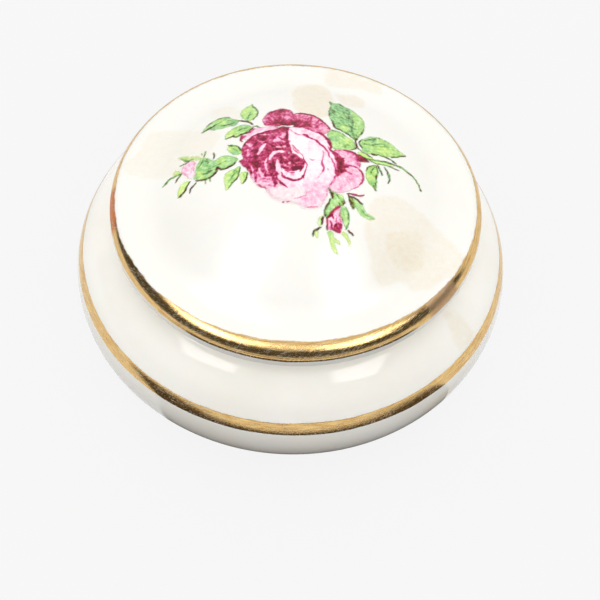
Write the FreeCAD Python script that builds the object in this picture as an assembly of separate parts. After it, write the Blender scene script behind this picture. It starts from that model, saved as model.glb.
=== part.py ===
import FreeCAD, Part
import math
import os

# Round porcelain trinket box with a loose lid: a squat, bulging bowl with a short neck, and a lid with a
# low ogee dome that overhangs the neck and is located by a flange inside the mouth.
# Both are turned about +Z; the origin is the centre of the foot ring's resting face. Millimetres.

# Bowl
belly_radius = 35.1            # widest point of the bowl
belly_height = 11.45           # height of the widest point
belly_depth = 12.0             # how far the bulge stands out from the flat of the floor
upper_rise = 11.2              # height of the bulge above its widest point
lower_drop = 10.65             # depth of the bulge below its widest point
wall = 2.6                     # porcelain thickness
neck_radius = 26.6             # outside of the short neck under the lid
neck_root_fillet = 1.0
seat_height = 25.4             # top of the neck, which the lid rests on
seat_edge_fillet = 0.5
foot_outer_radius = 21.9       # foot ring
foot_inner_radius = 19.3
foot_recess = 1.5              # the base stands this far off the table inside the foot ring
foot_fillet = 0.4

# Lid
lid_radius = 29.4              # outermost point of the lid's edge
edge_round = 2.2               # radius of the rolled edge that carries the gilding
edge_drop = 0.8                # height of the bare white lip below the rolled edge
lip_fillet = 0.35
cove_end_radius = 27.0         # the concave cove runs out flat here
dome_radius = 43.0             # radius of the sphere that the dome is part of
dome_edge = 21.0               # the dome turns into the cove at this radius
lid_wall = 2.4
flange_clearance = 0.5         # gap between the locating flange and the mouth, all round
flange_wall = 2.2
flange_depth = 2.8
flange_fillet = 0.5

# Fired decoration: thin skins on the glaze
gilding_thickness = 0.06
transfer_thickness = 0.05
belly_band_low = 14.25         # lower and upper edge of the gold band round the bowl
belly_band_high = 16.47
edge_gilding_start = 90.0      # angles on the rolled edge, from the outward direction up
edge_gilding_end = 10.5

up = FreeCAD.Vector(0, 0, 1)
centre = FreeCAD.Vector(0, 0, 0)


def point(radius, height):
    return FreeCAD.Vector(radius, 0, height)


def line(start, end):
    return Part.makeLine(start, end)


def arc(middle_radius, middle_height, radius, start_angle, end_angle):
    """Arc in the XZ plane; angles in degrees from +X towards +Z."""
    def on_arc(angle):
        turn = math.radians(angle)
        return point(middle_radius + radius * math.cos(turn), middle_height + radius * math.sin(turn))
    return Part.Arc(on_arc(start_angle), on_arc((start_angle + end_angle) / 2), on_arc(end_angle)).toShape()


def bulge_point(angle, depth, rise):
    """Point on the bowl's elliptical bulge; angle in degrees from its widest point."""
    turn = math.radians(angle)
    inner = belly_radius - belly_depth
    return point(inner + depth * math.cos(turn), belly_height + rise * math.sin(turn))


def bulge_arc(depth, rise, start_angle, end_angle):
    """Piece of an ellipse in the XZ plane, with depth along X and rise along Z, angles going up."""
    middle = point(belly_radius - belly_depth, belly_height)
    if depth >= rise:
        ellipse = Part.Ellipse(bulge_point(0, depth, rise), bulge_point(90, depth, rise), middle)
    else:
        ellipse = Part.Ellipse(bulge_point(90, depth, rise), bulge_point(0, depth, rise), middle)
    first = ellipse.parameter(bulge_point(start_angle, depth, rise))
    last = ellipse.parameter(bulge_point(end_angle, depth, rise))
    return Part.ArcOfEllipse(ellipse, first, last).toShape()


def turned(edges):
    """Solid of revolution about +Z from a closed outline in the XZ plane."""
    wire = Part.Wire(Part.__sortEdges__(edges))
    return Part.Face(wire).revolve(centre, up, 360)


def fillet_rings(solid, rings):
    """Round the circular edges named by (radius, height, fillet radius)."""
    for ring_radius, ring_height, fillet in rings:
        chosen = []
        for edge in solid.Edges:
            box = edge.BoundBox
            flat = box.ZLength < 0.001 and abs(box.ZMin - ring_height) < 0.01
            if flat and abs(box.XMax - ring_radius) < 0.01:
                chosen.append(edge)
        solid = solid.makeFillet(fillet, chosen)
    return solid


def make_body():
    # Where the bulge meets the neck, outside and inside.
    inner = belly_radius - belly_depth
    mouth_radius = neck_radius - wall
    outer_angle = math.degrees(math.acos((neck_radius - inner) / belly_depth))
    inner_angle = math.degrees(math.acos((mouth_radius - inner) / (belly_depth - wall)))
    neck_root = bulge_point(outer_angle, belly_depth, upper_rise)
    mouth_root = bulge_point(inner_angle, belly_depth - wall, upper_rise - wall)
    bulge_bottom = belly_height - lower_drop
    floor_height = bulge_bottom + wall
    base_height = foot_recess
    edges = [
        line(point(0, base_height), point(foot_inner_radius, base_height)),
        line(point(foot_inner_radius, base_height), point(foot_inner_radius, 0)),
        line(point(foot_inner_radius, 0), point(foot_outer_radius, 0)),
        line(point(foot_outer_radius, 0), point(foot_outer_radius, bulge_bottom)),
        line(point(foot_outer_radius, bulge_bottom), point(inner, bulge_bottom)),
        bulge_arc(belly_depth, lower_drop, -90, 0),
        bulge_arc(belly_depth, upper_rise, 0, outer_angle),
        line(neck_root, point(neck_radius, seat_height)),
        line(point(neck_radius, seat_height), point(mouth_radius, seat_height)),
        line(point(mouth_radius, seat_height), mouth_root),
        bulge_arc(belly_depth - wall, upper_rise - wall, 0, inner_angle),
        bulge_arc(belly_depth - wall, lower_drop - wall, -90, 0),
        line(point(inner, floor_height), point(0, floor_height)),
        line(point(0, floor_height), point(0, base_height)),
    ]
    rings = [
        (neck_radius, neck_root.z, neck_root_fillet),
        (neck_radius, seat_height, seat_edge_fillet),
        (mouth_radius, seat_height, seat_edge_fillet),
        (foot_outer_radius, 0, foot_fillet),
        (foot_inner_radius, 0, foot_fillet),
    ]
    return fillet_rings(turned(edges), rings)


def lid_heights():
    """Heights of the lid's edge, cove and dome, worked out from the seat upwards."""
    edge_middle = seat_height + edge_drop
    cove_bottom = edge_middle + edge_round
    turn = math.asin(dome_edge / dome_radius)
    cove_radius = (cove_end_radius - dome_edge) / math.sin(turn)
    dome_edge_height = cove_bottom + cove_radius * (1 - math.cos(turn))
    dome_middle = dome_edge_height - dome_radius * math.cos(turn)
    return edge_middle, cove_bottom, cove_radius, dome_edge_height, dome_middle


def lid_top_edges(lift):
    """Dome and cove of the lid from the axis outwards, raised by lift."""
    edge_middle, cove_bottom, cove_radius, dome_edge_height, dome_middle = lid_heights()
    turn = math.degrees(math.asin(dome_edge / dome_radius))
    dome = arc(0, dome_middle + lift, dome_radius, 90, 90 - turn)
    cove = arc(cove_end_radius, cove_bottom + cove_radius + lift, cove_radius, 270 - turn, 270)
    return [dome, cove]


def make_lid():
    edge_middle, cove_bottom, cove_radius, dome_edge_height, dome_middle = lid_heights()
    edge_centre = lid_radius - edge_round
    flange_outer = neck_radius - wall - flange_clearance
    flange_inner = flange_outer - flange_wall
    flange_bottom = seat_height - flange_depth
    inner_dome = dome_radius - lid_wall
    inner_turn = math.degrees(math.asin(flange_inner / inner_dome))
    inner_edge_height = dome_middle + inner_dome * math.cos(math.radians(inner_turn))
    dome_top = dome_middle + dome_radius
    edges = lid_top_edges(0) + [
        line(point(cove_end_radius, cove_bottom), point(edge_centre, cove_bottom)),
        arc(edge_centre, edge_middle, edge_round, 90, 0),
        line(point(lid_radius, edge_middle), point(lid_radius, seat_height)),
        line(point(lid_radius, seat_height), point(flange_outer, seat_height)),
        line(point(flange_outer, seat_height), point(flange_outer, flange_bottom)),
        line(point(flange_outer, flange_bottom), point(flange_inner, flange_bottom)),
        line(point(flange_inner, flange_bottom), point(flange_inner, inner_edge_height)),
        arc(0, dome_middle, inner_dome, 90 - inner_turn, 90),
        line(point(0, dome_middle + inner_dome), point(0, dome_top)),
    ]
    rings = [
        (lid_radius, seat_height, lip_fillet),
        (flange_outer, flange_bottom, flange_fillet),
        (flange_inner, flange_bottom, flange_fillet),
    ]
    return fillet_rings(turned(edges), rings)


def make_belly_band():
    """Gold band round the bowl, just above its widest point."""
    low_angle = math.degrees(math.asin((belly_band_low - belly_height) / upper_rise))
    high_angle = math.degrees(math.asin((belly_band_high - belly_height) / upper_rise))
    depth = belly_depth + gilding_thickness
    rise = upper_rise + gilding_thickness
    edges = [
        bulge_arc(belly_depth, upper_rise, low_angle, high_angle),
        bulge_arc(depth, rise, low_angle, high_angle),
        line(bulge_point(low_angle, belly_depth, upper_rise), bulge_point(low_angle, depth, rise)),
        line(bulge_point(high_angle, belly_depth, upper_rise), bulge_point(high_angle, depth, rise)),
    ]
    return turned(edges)


def make_edge_gilding():
    """Gold band over the lid's rolled edge."""
    edge_middle = lid_heights()[0]
    edge_centre = lid_radius - edge_round
    outer = edge_round + gilding_thickness
    first = arc(edge_centre, edge_middle, edge_round, edge_gilding_start, edge_gilding_end)
    second = arc(edge_centre, edge_middle, outer, edge_gilding_start, edge_gilding_end)
    edges = [
        first,
        second,
        line(first.Vertexes[0].Point, second.Vertexes[0].Point),
        line(first.Vertexes[-1].Point, second.Vertexes[-1].Point),
    ]
    return turned(edges)


def top_skin():
    """Thin layer over the lid's dome and cove, from which the transfer is cut."""
    edge_middle, cove_bottom, cove_radius, dome_edge_height, dome_middle = lid_heights()
    dome_top = dome_middle + dome_radius
    edges = lid_top_edges(0) + lid_top_edges(transfer_thickness) + [
        line(point(0, dome_top), point(0, dome_top + transfer_thickness)),
        line(point(cove_end_radius, cove_bottom), point(cove_end_radius, cove_bottom + transfer_thickness)),
    ]
    return turned(edges)


def leaf_outline(x, y, length, width, angle):
    """Pointed leaf, two arcs between its base and its tip."""
    turn = math.radians(angle)
    along = FreeCAD.Vector(math.cos(turn), math.sin(turn), 0)
    across = FreeCAD.Vector(-math.sin(turn), math.cos(turn), 0)
    middle = FreeCAD.Vector(x, y, 0)
    base = middle - along * (length / 2)
    tip = middle + along * (length / 2)
    left = Part.Arc(base, middle + across * (width / 2), tip).toShape()
    right = Part.Arc(tip, middle - across * (width / 2), base).toShape()
    return Part.Wire([left, right])


def ellipse_outline(x, y, length, width, angle):
    """Ellipse of the given length along its angle."""
    if length < width:
        length, width, angle = width, length, angle + 90
    wire = Part.Wire([Part.Ellipse(centre, length / 2, width / 2).toShape()])
    wire.rotate(centre, up, angle)
    wire.translate(FreeCAD.Vector(x, y, 0))
    return wire


def stem_outline(start, middle, end, thickness):
    """Curved strip of constant thickness through three points."""
    curve = Part.Arc(*[FreeCAD.Vector(x, y, 0) for x, y in (start, middle, end)]).toShape().Curve
    bend = curve.Center
    inner = []
    outer = []
    for x, y in (start, middle, end):
        spoke = (FreeCAD.Vector(x, y, 0) - bend).normalize()
        inner.append(bend + spoke * (curve.Radius - thickness / 2))
        outer.append(bend + spoke * (curve.Radius + thickness / 2))
    sides = [Part.Arc(*inner).toShape(), Part.Arc(*outer).toShape()]
    ends = [line(inner[0], outer[0]), line(inner[2], outer[2])]
    return Part.Wire(Part.__sortEdges__(sides + ends))


def make_rose_transfer():
    """Rose spray printed on the dome: an open bloom, two buds, a stem and leaves, as plain patches."""
    # x, y, length, width and angle of each patch
    petals = [
        (0.6, 5.0, 19.0, 21.4, 0),
        (-16.2, 2.4, 3.4, 2.6, 20),
        (5.4, -6.6, 8.6, 3.4, 90),
    ]
    leaves = [
        (-12.0, 11.7, 5.8, 2.8, 15),
        (-7.6, 13.6, 5.4, 3.4, 55),
        (-9.6, 9.6, 5.0, 2.4, 22),
        (-10.4, 5.6, 4.2, 1.8, -50),
        (-12.4, 1.6, 7.4, 3.6, 20),
        (-19.0, -1.6, 5.0, 1.8, 35),
        (-10.4, -0.6, 4.8, 2.0, 60),
        (8.2, 12.4, 10.6, 5.8, -60),
        (13.8, 6.8, 8.0, 3.8, -5),
        (11.6, 0.4, 5.2, 2.2, -75),
        (9.2, -5.8, 6.0, 2.2, -38),
        (3.0, -8.8, 4.6, 1.8, 68),
    ]
    stem = stem_outline((9.4, 5.0), (15.6, 4.2), (19.4, 0.2), 0.6)
    outlines = [stem]
    for x, y, length, width, angle in petals:
        outlines.append(ellipse_outline(x, y, length, width, angle))
    for x, y, length, width, angle in leaves:
        outlines.append(leaf_outline(x, y, length, width, angle))
    cove_bottom = lid_heights()[1]
    prisms = []
    for outline in outlines:
        outline.translate(FreeCAD.Vector(0, 0, cove_bottom - 1))
        prisms.append(Part.Face(outline).extrude(up * 12))
    pattern = prisms[0].multiFuse(prisms[1:])
    return top_skin().common(pattern)


def check(name, shape):
    solids = shape.Solids
    volume = sum(solid.Volume for solid in solids)
    box = shape.optimalBoundingBox(False, False)
    print(name, "valid", shape.isValid(), "solids", len(solids), "volume", round(volume, 2),
          "z", round(box.ZMin, 2), round(box.ZMax, 2), "x", round(box.XMin, 2), round(box.XMax, 2),
          "y", round(box.YMin, 2), round(box.YMax, 2))


parts = {
    "porcelain_body": make_body(),
    "porcelain_lid": make_lid(),
    "body_band_gilding": make_belly_band(),
    "lid_edge_gilding": make_edge_gilding(),
    "rose_transfer": make_rose_transfer(),
}

os.makedirs("parts", exist_ok=True)
for name, shape in parts.items():
    check(name, shape)
    shape.exportStep("parts/" + name + ".step")
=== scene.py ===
import bpy
import math
import numpy as np
from mathutils import Matrix, Vector, noise


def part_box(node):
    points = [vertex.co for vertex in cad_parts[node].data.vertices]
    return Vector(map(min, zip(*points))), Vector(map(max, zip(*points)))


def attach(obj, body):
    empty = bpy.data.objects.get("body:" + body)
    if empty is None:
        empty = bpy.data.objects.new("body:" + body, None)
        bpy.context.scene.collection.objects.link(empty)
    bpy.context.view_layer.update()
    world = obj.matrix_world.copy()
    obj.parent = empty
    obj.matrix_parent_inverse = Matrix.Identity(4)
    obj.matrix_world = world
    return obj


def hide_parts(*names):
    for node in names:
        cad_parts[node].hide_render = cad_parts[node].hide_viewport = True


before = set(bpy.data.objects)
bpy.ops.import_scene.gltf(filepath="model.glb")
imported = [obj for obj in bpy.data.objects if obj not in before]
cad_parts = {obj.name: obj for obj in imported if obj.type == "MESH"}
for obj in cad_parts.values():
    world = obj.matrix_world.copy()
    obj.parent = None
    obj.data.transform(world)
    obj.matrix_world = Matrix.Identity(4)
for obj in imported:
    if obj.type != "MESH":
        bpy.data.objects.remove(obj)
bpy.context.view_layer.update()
mm = 0.001
noise.seed_set(1)                # the brush wavers the same way each time
print("frame loaded:", sorted(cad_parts))


# ---- small tools ----

def hexColour(text):
    # sRGB hex to the linear colour that the shaders work in
    channels = [int(text[i:i + 2], 16) / 255 for i in (1, 3, 5)]
    linear = [c / 12.92 if c <= 0.04045 else ((c + 0.055) / 1.055) ** 2.4 for c in channels]
    return (*linear, 1.0)


def perMm(size):
    # texture scale for a feature of this many millimetres, in metre-based coordinates
    return 1 / (size * mm)


def addNode(tree, kind, settings=None, links=None):
    # settings go to the node's own properties or, failing that, to its inputs
    node = tree.nodes.new(kind)
    for name, value in (settings or {}).items():
        if isinstance(name, str) and hasattr(node, name):
            setattr(node, name, value)
        else:
            node.inputs[name].default_value = value
    for name, source in (links or {}).items():
        tree.links.new(source, node.inputs[name])
    return node


def newMaterial(name):
    material = bpy.data.materials.new(name)
    material.use_nodes = True
    material.node_tree.nodes.clear()
    return material, material.node_tree


def setRamp(node, stops):
    # stops are (position, hex colour) or (position, grey value)
    elements = node.color_ramp.elements
    while len(elements) < len(stops):
        elements.new(0.5)
    for element, (position, colour) in zip(elements, stops):
        element.position = position
        element.color = hexColour(colour) if isinstance(colour, str) else (colour, colour, colour, 1)
    return node


def newPiece(name, points, faces, materials, body, slot, nodes=()):
    # points are in millimetres; the mesh is made in metres
    mesh = bpy.data.meshes.new(name)
    mesh.from_pydata([Vector(p) * mm for p in points], [], faces)
    for material in materials:
        mesh.materials.append(material)
    mesh.polygons.foreach_set("use_smooth", [True] * len(mesh.polygons))
    piece = bpy.data.objects.new(name, mesh)
    if body == "lid":
        piece.location.x = lid["aside"] * mm
    bpy.context.scene.collection.objects.link(piece)
    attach(piece, body)
    if nodes:
        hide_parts(*nodes)
    return piece


def smoothStep(low, high, value):
    t = min(1, max(0, (value - low) / (high - low)))
    return t * t * (3 - 2 * t)


# ---- outlines of the turned porcelain, in millimetres from the axis and from the table ----

bowl = {
    "bellyRadius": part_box("porcelain_body")[1].x / mm,
    "seatHeight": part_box("porcelain_body")[1].z / mm,
    "bellyHeight": 11.45,
    "bulgeDepth": 12.0,
    "upperRise": 11.2,
    "lowerDrop": 10.65,
    "wall": 2.6,
    "neckRadius": 26.6,
    "neckRootRound": 1.1,
    "rimRound": 0.5,
    "footOuter": 21.9,
    "footInner": 19.3,
    "footRecess": 1.5,
    "footRound": 0.4,
    "sectors": 300,
}

lid = {
    "radius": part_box("porcelain_lid")[1].x / mm,
    "flangeBottom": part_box("porcelain_lid")[0].z / mm,
    "edgeRound": 2.2,
    "edgeDrop": 0.8,
    "lipRound": 0.35,
    "coveEnd": 27.0,
    "domeRadius": 43.0,
    "domeEdge": 21.0,
    "wall": 2.4,
    "flangeOuter": 23.5,
    "flangeWall": 2.2,
    "flangeRound": 0.5,
    "aside": 0.4,                # the loose lid lies a little to the right in its seat
    "sectors": 300,
}
lid["edgeMiddle"] = bowl["seatHeight"] + lid["edgeDrop"]
lid["coveBottom"] = lid["edgeMiddle"] + lid["edgeRound"]
lid["domeTurn"] = math.asin(lid["domeEdge"] / lid["domeRadius"])
lid["coveRadius"] = (lid["coveEnd"] - lid["domeEdge"]) / math.sin(lid["domeTurn"])
lid["domeMiddle"] = (lid["coveBottom"] + lid["coveRadius"] * (1 - math.cos(lid["domeTurn"]))
                     - lid["domeRadius"] * math.cos(lid["domeTurn"]))


def arcPoints(middle, radii, start, end, step=0.35):
    # ellipse arc in the (radius, height) plane, angles in degrees from outward towards up
    count = max(3, int(max(radii) * abs(math.radians(end - start)) / step))
    turns = [math.radians(start + (end - start) * i / count) for i in range(count + 1)]
    return [(middle[0] + radii[0] * math.cos(t), middle[1] + radii[1] * math.sin(t)) for t in turns]


def straight(start, end, step=0.35):
    count = max(1, int(math.dist(start, end) / step))
    return [(start[0] + (end[0] - start[0]) * i / count, start[1] + (end[1] - start[1]) * i / count)
            for i in range(count + 1)]


def trimmed(points, cut):
    # drops a length off the end of a run of points
    points = list(points)
    while len(points) > 1 and math.dist(points[-1], points[-2]) <= cut:
        cut -= math.dist(points[-1], points[-2])
        points.pop()
    share = cut / math.dist(points[-1], points[-2])
    last = [a + (b - a) * share for a, b in zip(points[-1], points[-2])]
    return points[:-1] + [tuple(last)]


def joined(runs):
    # runs are (points, rounding of the corner at their end); rounded corners become small curves
    path = list(runs[0][0])
    for (before, cut), (after, nextCut) in zip(runs, runs[1:]):
        corner = after[0]
        following = list(after)
        if cut:
            path = trimmed(path, cut)
            following = trimmed(following[::-1], cut)[::-1]
            a, b = path[-1], following[0]
            for i in range(1, 6):
                t = i / 6
                path.append(tuple((1 - t) ** 2 * p + 2 * t * (1 - t) * c + t * t * q
                                  for p, c, q in zip(a, corner, b)))
            path.append(b)
        path += following[1:]
    return path


def bowlOutline():
    b = bowl
    middle = (b["bellyRadius"] - b["bulgeDepth"], b["bellyHeight"])
    outer, outerLow = (b["bulgeDepth"], b["upperRise"]), (b["bulgeDepth"], b["lowerDrop"])
    inner, innerLow = [tuple(r - b["wall"] for r in pair) for pair in (outer, outerLow)]
    mouth = b["neckRadius"] - b["wall"]
    neckTurn = math.degrees(math.acos((b["neckRadius"] - middle[0]) / outer[0]))
    mouthTurn = math.degrees(math.acos((mouth - middle[0]) / inner[0]))
    bulge = arcPoints(middle, outerLow, -90, 0)[:-1] + arcPoints(middle, outer, 0, neckTurn)
    inside = arcPoints(middle, inner, mouthTurn, 0)[:-1] + arcPoints(middle, innerLow, 0, -90)
    base, seat = b["footRecess"], b["seatHeight"]
    return joined([
        (straight((0, base), (b["footInner"], base), 1.2), 0.5),
        (straight((b["footInner"], base), (b["footInner"], 0)), b["footRound"]),
        (straight((b["footInner"], 0), (b["footOuter"], 0)), b["footRound"]),
        (straight((b["footOuter"], 0), (b["footOuter"], bulge[0][1])), 0.4),
        (straight((b["footOuter"], bulge[0][1]), bulge[0]), 0),
        (bulge, b["neckRootRound"]),
        (straight(bulge[-1], (b["neckRadius"], seat)), b["rimRound"]),
        (straight((b["neckRadius"], seat), (mouth, seat)), b["rimRound"]),
        (straight((mouth, seat), inside[0]), 0.8),
        (inside, 0),
        (straight(inside[-1], (0, inside[-1][1]), 1.2), 0),
    ])


def lidOutline():
    d = lid
    turn = math.degrees(d["domeTurn"])
    dome = arcPoints((0, d["domeMiddle"]), (d["domeRadius"],) * 2, 90, 90 - turn)
    coveMiddle = (d["coveEnd"], d["coveBottom"] + d["coveRadius"])
    cove = arcPoints(coveMiddle, (d["coveRadius"],) * 2, 270 - turn, 270)
    edgeCentre = d["radius"] - d["edgeRound"]
    rolled = arcPoints((edgeCentre, d["edgeMiddle"]), (d["edgeRound"],) * 2, 90, 0, 0.15)
    flangeInner = d["flangeOuter"] - d["flangeWall"]
    innerDome = d["domeRadius"] - d["wall"]
    innerTurn = math.degrees(math.asin(flangeInner / innerDome))
    ceiling = arcPoints((0, d["domeMiddle"]), (innerDome,) * 2, 90 - innerTurn, 90)
    seat, low = bowl["seatHeight"], d["flangeBottom"]
    return joined([
        (dome, 0),
        (cove, 0),
        (rolled, 0),
        (straight(rolled[-1], (d["radius"], seat), 0.2), d["lipRound"]),
        (straight((d["radius"], seat), (d["flangeOuter"], seat)), 0.25),
        (straight((d["flangeOuter"], seat), (d["flangeOuter"], low)), d["flangeRound"]),
        (straight((d["flangeOuter"], low), (flangeInner, low)), d["flangeRound"]),
        (straight((flangeInner, low), ceiling[0]), 0.8),
        (ceiling, 0),
    ])


def lidTop(x, y):
    # height of the lid's upper surface, up to its rolled edge
    d = lid
    r = math.hypot(x, y)
    if r < d["domeEdge"]:
        return d["domeMiddle"] + math.sqrt(d["domeRadius"] ** 2 - r * r)
    if r < d["coveEnd"]:
        return d["coveBottom"] + d["coveRadius"] - math.sqrt(d["coveRadius"] ** 2 - (d["coveEnd"] - r) ** 2)
    drop = max(0, r - (d["radius"] - d["edgeRound"]))
    return d["edgeMiddle"] + math.sqrt(max(0, d["edgeRound"] ** 2 - drop ** 2))


def turnedPiece(name, outline, sectors, materials, bareFace, **place):
    # turns an outline about +Z; bareFace(radius, height, rise) picks the unglazed faces, and its rise is not used
    points, faces, rings = [], [], []
    for r, h in outline:
        if r < 1e-6:
            rings.append([len(points)] * sectors)
            points.append((0, 0, h))
            continue
        rings.append([len(points) + i for i in range(sectors)])
        for i in range(sectors):
            a = 2 * math.pi * i / sectors
            points.append((r * math.cos(a), r * math.sin(a), h))
    bare = []
    for k in range(len(rings) - 1):
        (r0, h0), (r1, h1) = outline[k], outline[k + 1]
        for i in range(sectors):
            j = (i + 1) % sectors
            loop = [rings[k][i], rings[k][j], rings[k + 1][j], rings[k + 1][i]]
            face = list(dict.fromkeys(loop))
            faces.append(face)
            bare.append(int(bareFace((r0 + r1) / 2, (h0 + h1) / 2, h1 - h0)))
    piece = newPiece(name, points, faces, materials, **place)
    piece.data.polygons.foreach_set("material_index", bare)
    return piece


# ---- finishes ----

porcelain = {
    "bowlTones": ("#F8F4EB", "#FDFAF2"),   # warm cream white under the clear glaze, clouded very slightly
    # the lid is the same cream white as the bowl, painted a little darker: painted shade that offsets the stronger
    # light falling on the top of the box
    "lidPaintedShadeTones": ("#F0EEE7", "#F3F1EB"),
    "bowlRoughness": (0.05, 0.1),
    "lidRoughness": (0.15, 0.24),  # the lid's glaze is dulled by handling
    "stain": "#E2C994",            # old tide marks left by paper and glue
    "ior": 1.5,
    "rippleMm": 9.0,
    "speckMm": 1.6,
}


def glazedPorcelain(name, roughness, tones):
    # slip-cast porcelain under a clear glaze: creamy white, wet-looking gloss, a slight ripple in reflections
    material, tree = newMaterial(name)
    place = addNode(tree, "ShaderNodeTexCoord").outputs["Object"]
    cloud = addNode(tree, "ShaderNodeTexNoise", {"Scale": perMm(16), "Detail": 3.0}, {"Vector": place})
    tone = setRamp(addNode(tree, "ShaderNodeValToRGB", {}, {"Fac": cloud.outputs["Fac"]}),
                   [(0.35, tones[0]), (0.62, tones[1])])
    speck = addNode(tree, "ShaderNodeTexVoronoi", {"Scale": perMm(porcelain["speckMm"])}, {"Vector": place})
    speckMask = addNode(tree, "ShaderNodeMapRange",
                        {"From Min": 0.05, "From Max": 0.02, "To Min": 0.0, "To Max": 0.5},
                        {"Value": speck.outputs["Distance"]})
    rare = addNode(tree, "ShaderNodeMapRange", {"From Min": 0.93, "From Max": 0.96},
                   {"Value": addNode(tree, "ShaderNodeSeparateColor", {}, {"Color": speck.outputs["Color"]}).outputs[0]})
    dots = addNode(tree, "ShaderNodeMath", {"operation": "MULTIPLY"},
                   {0: speckMask.outputs[0], 1: rare.outputs[0]})
    colour = addNode(tree, "ShaderNodeMix", {"data_type": "RGBA", 7: hexColour("#B9A27E")},
                     {0: dots.outputs[0], 6: tone.outputs["Color"]})
    stained = addNode(tree, "ShaderNodeAttribute", {"attribute_name": "stain"}).outputs["Fac"]
    fleck = addNode(tree, "ShaderNodeTexNoise", {"Scale": perMm(0.9), "Detail": 4.0, "Roughness": 0.7},
                    {"Vector": place})
    patchy = addNode(tree, "ShaderNodeMapRange", {"From Min": 0.3, "From Max": 0.65, "To Min": 0.45, "To Max": 1.15,
                                                 "clamp": False}, {"Value": fleck.outputs["Fac"]})
    stain = addNode(tree, "ShaderNodeMath", {"operation": "MULTIPLY"}, {0: stained, 1: patchy.outputs[0]})
    colour = addNode(tree, "ShaderNodeMix", {"data_type": "RGBA", 7: hexColour(porcelain["stain"])},
                     {0: stain.outputs[0], 6: colour.outputs[2]})
    ripple = addNode(tree, "ShaderNodeTexNoise", {"Scale": perMm(porcelain["rippleMm"]), "Detail": 1.5},
                     {"Vector": place})
    bump = addNode(tree, "ShaderNodeBump", {"Strength": 0.12, "Distance": 0.00025},
                   {"Height": ripple.outputs["Fac"]})
    gloss = addNode(tree, "ShaderNodeMapRange", {"To Min": roughness[0], "To Max": roughness[1]},
                    {"Value": cloud.outputs["Fac"]})
    shader = addNode(tree, "ShaderNodeBsdfPrincipled",
                     {"IOR": porcelain["ior"], "Subsurface Weight": 0.12, "Subsurface Scale": 1.5 * mm},
                     {"Base Color": colour.outputs[2], "Roughness": gloss.outputs[0], "Normal": bump.outputs[0]})
    addNode(tree, "ShaderNodeOutputMaterial", {}, {"Surface": shader.outputs[0]})
    return material


def barePorcelain():
    # unglazed biscuit on the foot ring and the seat: chalky, matt, faintly grey
    material, tree = newMaterial("barePorcelain")
    place = addNode(tree, "ShaderNodeTexCoord").outputs["Object"]
    grain = addNode(tree, "ShaderNodeTexNoise", {"Scale": perMm(0.4), "Detail": 4.0}, {"Vector": place})
    tone = setRamp(addNode(tree, "ShaderNodeValToRGB", {}, {"Fac": grain.outputs["Fac"]}),
                   [(0.35, "#D9D1C3"), (0.65, "#EBE5D8")])
    bump = addNode(tree, "ShaderNodeBump", {"Strength": 0.3, "Distance": 0.00005}, {"Height": grain.outputs["Fac"]})
    shader = addNode(tree, "ShaderNodeBsdfPrincipled", {"Roughness": 0.75},
                     {"Base Color": tone.outputs["Color"], "Normal": bump.outputs[0]})
    addNode(tree, "ShaderNodeOutputMaterial", {}, {"Surface": shader.outputs[0]})
    return material


gilding = {
    "bright": "#F6D494",
    "deep": "#CF9B52",
    "dull": "#C4A07C",        # stretch rubbed to a tan film
    "copper": "#C9653E",      # patch fired too hot
    "worn": "#7A5A34",        # grime in the grain
    "roughness": (0.07, 0.19),
    "brushMm": 0.3,
    "grainMm": 0.24,
}


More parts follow.
